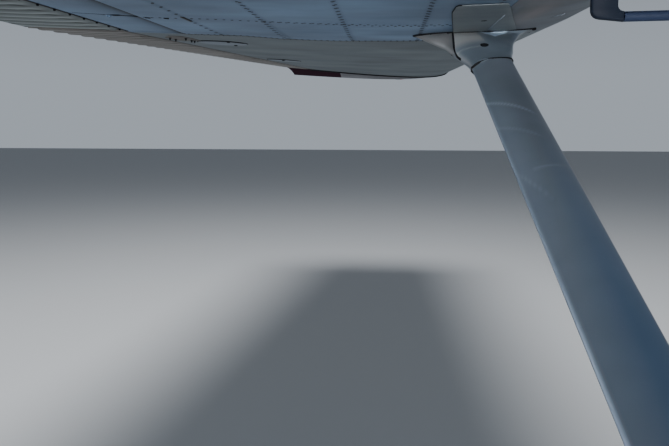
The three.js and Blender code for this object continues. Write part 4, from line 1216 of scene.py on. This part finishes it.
# Chord shares inboard and at the skins' joint, spacing and start of each spanwise row
ROW_DRIFT = (1430.0, 2020.0)
SPAN_ROWS = (
    (0.148, 0.148, 36, 80), (0.188, 0.188, 30, 80), (0.2738, 0.2738, 38, 80), (0.2766, 0.2766, 38, 99),
    (0.3955, 0.3985, 44, 80), (0.3985, 0.4015, 44, 102), (0.5153, 0.5242, 44, 80), (0.5181, 0.527, 44, 102),
    (0.6338, 0.6374, 53, 80), (0.6362, 0.6398, 53, 106),
)
# How deep the heads are set, the rows' distances from the skins' joint, and the shares that rows run between
HEAD_SUNK, ROW_STOP, JOINT_ROW, OUTER_JOINT_ROW = 0.5, 14, -9, 11
NOSE_RUN, BOX_RUN, RIB_RUN, AFT_RUN = (0.05, 0.146), (0.19, 0.7), (0.19, 0.577), (0.597, 0.70)
# The slanted rib's second row: its run, how far outboard it lies ahead, and where it nears the first
SECOND_RUN, SECOND_APART, SECOND_NEARS = (0.196, 0.522), 20, ((0.37, 0.44), (1, 0.35))
RIB_SPACING, RIB_SPACING_AFT = 19.5, 40.0


def sunk(t):
    """The height at which heads sit on the inboard skins at a share of the chord."""
    return (NOSE_LIFT if t < FRONT_SPAR else INNER_LIFT) - HEAD_SUNK


def span_row(side, shares, from_y, to_y):
    """A row that keeps one share of the chord, and drifts to another over the last part."""
    spots = [(y, np.interp(y, ROW_DRIFT, shares)) for y in stations(from_y, to_y, 60)]
    return skin_path(side, spots, sunk(shares[0]))


def rib_row(side, y, run):
    return skin_path(side, [(y, t) for t in np.linspace(*run, 26)], sunk(run[1]))


def joint_row(side, run, offset, lift):
    """A row beside the slanted joint of the skins."""
    return skin_path(side, [(seam_station(t) + offset, t) for t in np.linspace(*run, 60)], lift)


def slanted_row(side, run, apart=0.0):
    """A row along the slanted rib, or one further outboard that nears it towards the rear."""
    spots = [(np.interp(t, *SLANTED_RIB) + apart * np.interp(t, *SECOND_NEARS), t)
             for t in np.linspace(*run, 26)]
    return skin_path(side, spots, INNER_LIFT - HEAD_SUNK)


def build_rivets(finish):
    tree = heads_tree()
    for side, word in ((-1, "lower"), (1, "upper")):
        for number, (near, far, spacing, start) in enumerate(SPAN_ROWS, 1):
            if side < 0 and near < FRONT_SPAR:
                continue
            row = span_row(side, (near, far), start, seam_station(far) - ROW_STOP)
            heads_piece(f"rivets_span_{word}_{number}", tree, [row], spacing, 4.2, 1.0, finish)
        close = [rib_row(side, y, run) for run in (RIB_RUN, NOSE_RUN) for y in RIB_ROWS]
        close += [joint_row(side, run, JOINT_ROW, sunk(run[1])) for run in (NOSE_RUN, BOX_RUN)]
        close += [slanted_row(side, BOX_RUN), slanted_row(side, SECOND_RUN, SECOND_APART)]
        heads_piece(f"rivets_rib_{word}", tree, close, RIB_SPACING, 5.0, 1.2, finish)
        beside = joint_row(side, BOX_RUN, OUTER_JOINT_ROW, OUTER_LIFT - HEAD_SUNK)
        heads_piece(f"rivets_joint_{word}", tree, [beside], RIB_SPACING, 3.0, 0.9, finish)
        aft = [rib_row(side, y, AFT_RUN) for y in RIB_ROWS]
        heads_piece(f"rivets_rib_aft_{word}", tree, aft, RIB_SPACING_AFT, 5.5, 1.4, finish)


# Root rib with flanged holes, and the fittings with rounded edges

# Chord share of each hole's middle and its radius
LIGHTENING_HOLES = ((0.09, 38.0), (0.29, 58.0), (0.4, 58.0), (0.51, 54.0), (0.61, 44.0), (0.765, 24.0))
HOLE_DEPTH, HOLE_FLARE = 15.0, 3.0
RIB_EDGE, RIB_LIFT, RIB_EDGE_LIFT = 1.8, -0.4, -2.2
LUG_BOLT, LUG_FACE_Y = ((0, 0), (6.5, 0), (6.5, 4.2), (5.6, 5), (0, 5)), RIB_Y - 8.2
LUG_BOLTS = ((-17, -38), (-17, 38), (17, -38), (17, 38))
# Metres within which points are one, and angles of faces that are one and of edges rounded and shown sharp
WELD, ONE_FACE, ROUNDED_FROM, SHARP_FROM = 2e-6, 2, 30, 32


def rib_outline(lift):
    t = LOWER_LIP_AFT / ROOT["chord"] * np.linspace(0, 1, 60) ** 1.6
    return lambda section, y: np.concatenate(
        [skin_line(section, t, 1, lift)[::-1], skin_line(section, t[1:], -1, lift)])


def build_root_rib(bare):
    plan = ((RIB_Y, RIB_EDGE_LIFT), (RIB_Y + RIB_EDGE, RIB_LIFT), (RIB_Y + RIB_THICKNESS, RIB_LIFT))
    rib = helper("rib_whole", *loft_faces([section_ring(y, rib_outline(lift)) for y, lift in plan]))
    holes, chord = [], ROOT["chord"]
    for t, radius in LIGHTENING_HOLES:
        centre = section_ring(RIB_Y, lambda s, _: np.array([[t * chord, chord * float(camber_line(t))]]))[0]
        flare = [(radius + HOLE_FLARE * (1 - math.sin(a)), HOLE_FLARE * (1 - math.cos(a)))
                 for a in np.linspace(0, math.pi / 2, 6)]
        profile = ((0, -1), (radius + HOLE_FLARE, -1), *flare, (radius, HOLE_DEPTH), (0, HOLE_DEPTH))
        holes.append(helper("hole", *turned_part(profile, centre, (0, 1, 0), 64)))
    finish_piece("root_rib_pressed", cut_away(rib, holes), bare, replaced=["root_rib"], slot="alloy",
                 sharp=40)
    remove(rib, *holes)


def softened(name, material, width, slot, body="wing"):
    """A solid's own form with rounded edges, smooth where it is round."""
    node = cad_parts[name]
    bm = bmesh.new()
    bm.from_mesh(node.data)
    bm.transform(node.matrix_world)
    bmesh.ops.remove_doubles(bm, verts=bm.verts, dist=WELD)
    bmesh.ops.dissolve_limit(bm, angle_limit=math.radians(ONE_FACE), verts=bm.verts, edges=bm.edges)
    edges = [e for e in bm.edges if e.is_manifold and e.calc_face_angle(0) > math.radians(ROUNDED_FROM)]
    bmesh.ops.bevel(bm, geom=edges, offset=width * MM, segments=2, profile=0.6, affect="EDGES",
                    clamp_overlap=True)
    mesh = bpy.data.meshes.new(name)
    bm.to_mesh(mesh)
    bm.free()
    finish_piece(f"{name}_rounded", mesh, material, body, [name], slot, SHARP_FROM)


def build_repeated_fittings(bare, steel, rail_paint):
    """Rails, brackets, hinge pins and rollers, whose nodes are numbered."""
    kinds = (("flap_rail", rail_paint, 0.6, "alloy", "flap"),
             ("aileron_bracket", bare, 0.8, "alloy", "wing"),
             ("aileron_hinge_pin", steel, 0.6, "steel", "aileron"),
             ("flap_roller", steel, 0.8, "steel", "wing"))
    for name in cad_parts:
        for start, *rest in kinds:
            if name.startswith(start):
                softened(name, *rest)


def build_single_fittings(bare, steel, dark_paint, tube_paint, light_paint, red_lens):
    for name, material, width, slot in (
        ("front_spar_lug", steel, 1.5, "steel"), ("rear_spar_lug", steel, 1.5, "steel"),
        ("strut_foot_fork", steel, 1.2, "steel"), ("tie_down_eye", steel, 0.3, "steel"),
        ("fuel_cap", bare, 0.7, "alloy"), ("stall_warning_vane", bare, 0.3, "alloy"),
        ("pitot_mast", dark_paint, 0.5, "dark_metal"), ("pitot_tube", tube_paint, 0.3, "dark_metal"),
        ("position_light_base", light_paint, 0.4, "wing_paint"),
        ("position_light_lens", red_lens, 0.4, "red_lens"),
    ):
        softened(name, material, width, slot)
    bolts = [turned_part(LUG_BOLT, (x, LUG_FACE_Y, z), (0, -1, 0), 6) for x, z in LUG_BOLTS]
    make_piece("front_lug_bolts", *gathered(bolts), steel, slot="steel")


# Materials

def principled(name, base, roughness, gleam=0.3):
    material = bpy.data.materials.new(name)
    material.use_nodes = True
    shader = material.node_tree.nodes["Principled BSDF"]
    shader.inputs["Base Color"].default_value = (*base, 1)
    shader.inputs["Roughness"].default_value = roughness
    shader.inputs["Specular IOR Level"].default_value = gleam
    return material, shader


def group(name, inputs, outputs):
    tree = bpy.data.node_groups.new(name, "ShaderNodeTree")
    for label, kind, value in inputs:
        socket = tree.interface.new_socket(name=label, in_out="INPUT", socket_type=f"NodeSocket{kind}")
        socket.default_value = value
    for label, kind in outputs:
        tree.interface.new_socket(name=label, in_out="OUTPUT", socket_type=f"NodeSocket{kind}")
    return tree, tree.nodes.new("NodeGroupInput"), tree.nodes.new("NodeGroupOutput")


def give(tree, socket, value):
    """Set a socket to a value, or link it to another socket."""
    if isinstance(value, (int, float, tuple)):
        socket.default_value = value
    else:
        tree.links.new(value, socket)


def noise(tree, stretch, scale, detail):
    """Noise on the part's own coordinates, stretched by three factors."""
    kinds = ("TexCoord", "Mapping", "TexNoise")
    place, mapping, node = (tree.nodes.new(f"ShaderNode{kind}") for kind in kinds)
    mapping.inputs["Scale"].default_value = stretch
    node.inputs["Scale"].default_value, node.inputs["Detail"].default_value = scale, detail
    node.inputs["Roughness"].default_value = 0.55
    tree.links.new(place.outputs["Object"], mapping.inputs["Vector"])
    tree.links.new(mapping.outputs["Vector"], node.inputs["Vector"])
    return node.outputs["Fac"]


def ramp(tree, value, low, high):
    node = tree.nodes.new("ShaderNodeMapRange")
    node.inputs["From Min"].default_value, node.inputs["From Max"].default_value = low, high
    tree.links.new(value, node.inputs["Value"])
    return node.outputs["Result"]


def maths(tree, operation, a, b):
    node = tree.nodes.new("ShaderNodeMath")
    node.operation = operation
    give(tree, node.inputs[0], a)
    give(tree, node.inputs[1], b)
    return node.outputs[0]


def blend_colour(tree, factor, a, b):
    node = tree.nodes.new("ShaderNodeMix")
    node.data_type = "RGBA"
    for name, value in (("Factor", factor), ("A", a), ("B", b)):
        give(tree, node.inputs[name], value)
    return node.outputs["Result"]


def scaled_colour(tree, colour, factor):
    node = tree.nodes.new("ShaderNodeVectorMath")
    node.operation = "SCALE"
    tree.links.new(colour, node.inputs[0])
    tree.links.new(factor, node.inputs["Scale"])
    return node.outputs[0]


def weathered_paint():
    """Paint with streaks along the air flow, clouds and specks of dirt, the second colour where marked for
    dirt and painted shade, and paler as painted highlights where the mark is negative.
    """
    tree, start, end = group(
        "weathered_paint",
        [("Paint", "Color", (0.4, 0.4, 0.4, 1)), ("Grime", "Color", (0.1, 0.1, 0.1, 1)),
         ("Amount", "Float", 0.3), ("Roughness", "Float", 0.3), ("Haze", "Float", 0.4)],
        [("Color", "Color"), ("Roughness", "Float")])
    streaks = ramp(tree, noise(tree, (1.2, 26, 6), 1.0, 5), 0.45, 0.75)
    clouds = ramp(tree, noise(tree, (1, 1, 1), 3.0, 4), 0.35, 0.7)
    specks = ramp(tree, noise(tree, (1, 1, 1), 160.0, 2), 0.66, 0.78)
    worn = maths(tree, "MULTIPLY", maths(tree, "ADD", maths(tree, "MULTIPLY", streaks, clouds), specks),
                 start.outputs["Amount"])
    marked = tree.nodes.new("ShaderNodeAttribute")
    marked.attribute_name = "soil"
    dirt_and_shade = maths(tree, "MAXIMUM", worn, marked.outputs["Fac"])
    haze = ramp(tree, noise(tree, (2.4, 3.6, 2.4), 1.0, 3), 0.32, 0.68)
    swing = maths(tree, "MULTIPLY", maths(tree, "SUBTRACT", haze, 0.5), start.outputs["Haze"])
    pale = maths(tree, "MAXIMUM", maths(tree, "MULTIPLY", marked.outputs["Fac"], -1.0), 0.0)
    tone = maths(tree, "ADD", swing, maths(tree, "ADD", pale, 1.0))
    toned = scaled_colour(tree, start.outputs["Paint"], tone)
    tree.links.new(blend_colour(tree, dirt_and_shade, toned, start.outputs["Grime"]), end.inputs["Color"])
    dulled = maths(tree, "ADD", maths(tree, "MULTIPLY", clouds, 0.07), maths(tree, "MULTIPLY", dirt_and_shade, 0.3))
    rough = maths(tree, "ADD", start.outputs["Roughness"], dulled)
    tree.links.new(rough, end.inputs["Roughness"])
    return tree


def sheet_ripple():
    """Slow waves of thin sheet metal, with the fine peel of sprayed paint on them."""
    tree, start, end = group("sheet_ripple", [("Slow", "Float", 1.0), ("Fine", "Float", 0.02)],
                             [("Height", "Float")])
    slow = maths(tree, "MULTIPLY", noise(tree, (3.5, 8, 3.5), 1.0, 1.5), start.outputs["Slow"])
    fine = maths(tree, "MULTIPLY", noise(tree, (1, 1, 1), 420.0, 1), start.outputs["Fine"])
    tree.links.new(maths(tree, "ADD", slow, fine), end.inputs["Height"])
    return tree


def use_group(material, tree, **values):
    node = material.node_tree.nodes.new("ShaderNodeGroup")
    node.node_tree = tree
    for name, value in values.items():
        node.inputs[name].default_value = value
    return node


def painted(name, base, grime_and_light, amount, roughness, slow=1.0, haze=0.4, gleam=0.3, metallic=0.0):
    """A finish of one colour with a second one for dirt and painted light, and slow waves in the sheet below
    it.
    """
    material, shader = principled(name, base, roughness, gleam)
    shader.inputs["Metallic"].default_value = metallic
    link = material.node_tree.links.new
    worn = use_group(material, WEATHER, Paint=(*base, 1), Grime=(*grime_and_light, 1), Amount=amount,
                     Roughness=roughness, Haze=haze)
    link(worn.outputs["Color"], shader.inputs["Base Color"])
    link(worn.outputs["Roughness"], shader.inputs["Roughness"])
    bump = material.node_tree.nodes.new("ShaderNodeBump")
    bump.inputs["Distance"].default_value = WAVE_HEIGHT
    link(use_group(material, RIPPLE, Slow=slow).outputs["Height"], bump.inputs["Height"])
    link(bump.outputs["Normal"], shader.inputs["Normal"])
    return material


def striped(material, colour, edge_x):
    """The same paint with another colour behind a line across the part, in metres."""
    tree = material.node_tree
    socket = tree.nodes["Principled BSDF"].inputs["Base Color"]
    plain = socket.links[0].from_socket
    place, split = tree.nodes.new("ShaderNodeTexCoord"), tree.nodes.new("ShaderNodeSeparateXYZ")
    tree.links.new(place.outputs["Object"], split.inputs["Vector"])
    behind = ramp(tree, split.outputs["X"], edge_x + MM, edge_x - MM)
    tree.links.new(blend_colour(tree, behind, plain, (*colour, 1)), socket)
    return material


# Stage, lights and camera, in metres

FLOOR_Z, FLOOR_HALF, FLOOR_COLOUR = -1.45, 40.0, (0.62, 0.64, 0.66)
LOW_SKY, HIGH_SKY, SKY_HEIGHTS, SKY_STRENGTH = (0.72, 0.8, 0.9, 1), (0.2, 0.22, 0.25, 1), (0.08, 0.75), 0.5
# Name, place, aim, size, power and spread of each light
LAMPS = (
    ("overhead", (-0.7, 2.4, 5.0), (-0.5, 2.4, 0), 3.2, 400, 180),
    ("ahead", (5.0, 1.0, 1.5), (0.0, 2.0, 0.0), 3.0, 20, 180),
    ("astern", (-5.0, 1.0, 1.5), (0.0, 2.0, 0.0), 3.0, 20, 180),
    ("inboard", (-0.3, -4.0, -0.7), (-0.02, 1.9, -0.12), 1.2, 5.4, 21),
)
CAMERA_PLACE, CAMERA_TURN, LENS, SENSOR = (-0.2523, 0.0314, -0.3066), (-4.657, -7.990, 0.177), 35.39, 36.0


def build_floor():
    corners = [(x * FLOOR_HALF, y * FLOOR_HALF, FLOOR_Z) for x, y in ((-1, -1), (1, -1), (1, 1), (-1, 1))]
    mesh = bpy.data.meshes.new("floor")
    mesh.from_pydata(corners, [], [(0, 1, 2, 3)])
    floor = bpy.data.objects.new("floor", mesh)
    bpy.context.scene.collection.objects.link(floor)
    mesh.materials.append(principled("floor_pale", FLOOR_COLOUR, 0.8)[0])


def build_sky():
    """Paler low down than overhead."""
    world = bpy.data.worlds.new("studio")
    world.use_nodes = True
    tree, sky = world.node_tree, world.node_tree.nodes["Background"]
    place, split = tree.nodes.new("ShaderNodeTexCoord"), tree.nodes.new("ShaderNodeSeparateXYZ")
    tree.links.new(place.outputs["Generated"], split.inputs["Vector"])
    height = ramp(tree, split.outputs["Z"], *SKY_HEIGHTS)
    tree.links.new(blend_colour(tree, height, LOW_SKY, HIGH_SKY), sky.inputs["Color"])
    sky.inputs["Strength"].default_value = SKY_STRENGTH
    bpy.context.scene.world = world


def build_lights():
    for name, place, aim, size, power, spread in LAMPS:
        lamp = bpy.data.lights.new(name, "AREA")
        lamp.shape, lamp.size, lamp.energy, lamp.spread = "DISK", size, power, math.radians(spread)
        light = bpy.data.objects.new(name, lamp)
        light.location = place
        light.rotation_mode = "QUATERNION"
        light.rotation_quaternion = (Vector(aim) - Vector(place)).to_track_quat("-Z", "Y")
        light.visible_camera = False
        bpy.context.scene.collection.objects.link(light)


def build_camera():
    yaw, pitch, roll = (math.radians(a) for a in CAMERA_TURN)
    forward = Vector((math.sin(yaw) * math.cos(pitch), math.cos(yaw) * math.cos(pitch), math.sin(pitch)))
    level = Vector((math.cos(yaw), -math.sin(yaw), 0))
    straight = level.cross(forward)
    right = level * math.cos(roll) + straight * math.sin(roll)
    up = straight * math.cos(roll) - level * math.sin(roll)
    lens = bpy.data.cameras.new("camera")
    lens.lens, lens.sensor_width, lens.clip_start = LENS, SENSOR, 0.02
    camera = bpy.data.objects.new("camera", lens)
    turn = Matrix((right, up, -forward)).transposed()
    camera.matrix_world = Matrix.Translation(CAMERA_PLACE) @ turn.to_4x4()
    bpy.context.scene.collection.objects.link(camera)
    bpy.context.scene.camera = camera


WEATHER, RIPPLE, WAVE_HEIGHT = weathered_paint(), sheet_ripple(), 0.0012
SOOT = (0.03, 0.03, 0.03)

# The airframe's paints are darker and bluer than its real pale paint, as painted shade and reflection of the
# shaded underside; the inboard skins' bluer tone is painted reflection
inner_paint = painted("inboard_shaded_paint", (0.183, 0.27, 0.395), (0.05, 0.048, 0.042), 0.12, 0.42,
                      haze=0.55, gleam=0.08)
# The nose's second colour is a painted brown reflection, laid in clouds and streaks as well as at its rows
nose_paint = painted("nose_paint", (0.09, 0.11, 0.135), (0.3, 0.275, 0.275), 0.5, 0.36, haze=0.8, gleam=0.1)
outer_paint = painted("outboard_shaded_paint", (0.155, 0.185, 0.203), (0.03, 0.035, 0.04), 0.08, 0.42,
                      gleam=0.08)
# The flap's and aileron's warmer tones are painted reflection
flap_paint = painted("flap_paint", (0.262, 0.296, 0.3), (0.025, 0.03, 0.03), 0.15, 0.42, 0.2, gleam=0.05)
aileron_paint = painted("aileron_paint", (0.252, 0.242, 0.231), (0.04, 0.035, 0.03), 0.15, 0.42, 0.2,
                        gleam=0.05)
brown_paint = painted("brown_patch", (0.15, 0.14, 0.13), SOOT, 0.4, 0.5, 0.2, gleam=0.1)
# The strut's blue second colour is painted shade and reflection, used low down the tube
strut_paint = painted("strut_paint", (0.143, 0.174, 0.216), (0.007, 0.068, 0.176), 0.12, 0.32, 0.1,
                      gleam=0.2)
# The fairing's pale second colour is its painted highlights and reflection
cuff_paint = painted("cuff_paint", (0.115, 0.148, 0.187), (0.315, 0.33, 0.34), 0.08, 0.3, 0.1)
tail_paint = painted("fairing_tail_paint", (0.122, 0.126, 0.131), SOOT, 0.25, 0.3, 0.1)
plate_paint = painted("plate_paint", (0.184, 0.212, 0.228), SOOT, 0.2, 0.35, 0.3, gleam=0.1)
cover_paint = painted("cover_paint", (0.235, 0.28, 0.335), SOOT, 0.2, 0.4, 0.2, gleam=0.1)
tip_paint = striped(painted("tip_paint", (0.25, 0.255, 0.275), SOOT, 0.2, 0.4, 0.3, gleam=0.0),
                    (0.042, 0.021, 0.031), -0.604)
rivet_paint = painted("rivet_paint", (0.012, 0.015, 0.02), (0.02, 0.02, 0.02), 0.3, 0.5, 0.0)
# Black for seals and screws, and for painted shade in gaps, a slot, along edges and in the fairing's hole
black_seal_and_shade = painted("black_sealant_and_shade", (0.008, 0.008, 0.01), (0.02, 0.02, 0.02), 0.3, 0.6, 0.0, gleam=0.1)
dark_paint = painted("pitot_black", (0.011, 0.016, 0.028), SOOT, 0.2, 0.5, 0.1, gleam=0.1)
tube_paint = painted("pitot_tube_navy", (0.024, 0.036, 0.073), SOOT, 0.2, 0.5, 0.1, gleam=0.1)
alloy = painted("bare_alloy", (0.45, 0.47, 0.49), (0.2, 0.2, 0.19), 0.3, 0.38, 0.1, metallic=0.9)
steel = painted("fitting_steel", (0.30, 0.31, 0.33), (0.12, 0.11, 0.1), 0.3, 0.34, 0.1, metallic=0.9)
red_lens = painted("red_lens", (0.42, 0.015, 0.015), (0.2, 0.01, 0.01), 0.4, 0.08, 0.05, gleam=0.5)

build_skins(nose_paint, inner_paint, outer_paint)
build_flap_bay(inner_paint)
build_aileron_bay(inner_paint, outer_paint)
build_moving_surfaces(flap_paint, aileron_paint)
build_tip(tip_paint)
build_strut(strut_paint)
build_fairing(cuff_paint, tail_paint)
build_plate(plate_paint)
build_covers(cover_paint)
build_rivets(rivet_paint)
build_fairing_seals_and_shade(black_seal_and_shade)
build_tip_sealant(black_seal_and_shade)
build_bracket_bolts(black_seal_and_shade, brown_paint)
build_cover_screws(black_seal_and_shade)
build_drain_marks(black_seal_and_shade, brown_paint)
build_aft_rib(black_seal_and_shade)
build_bay_lips(black_seal_and_shade, brown_paint)
build_cover_seals_and_shadows(black_seal_and_shade)
build_plate_marks(black_seal_and_shade, cover_paint)
build_root_rib(alloy)
build_repeated_fittings(alloy, steel, inner_paint)
build_single_fittings(alloy, steel, dark_paint, tube_paint, outer_paint, red_lens)
build_floor()
build_sky()
build_lights()
build_camera()
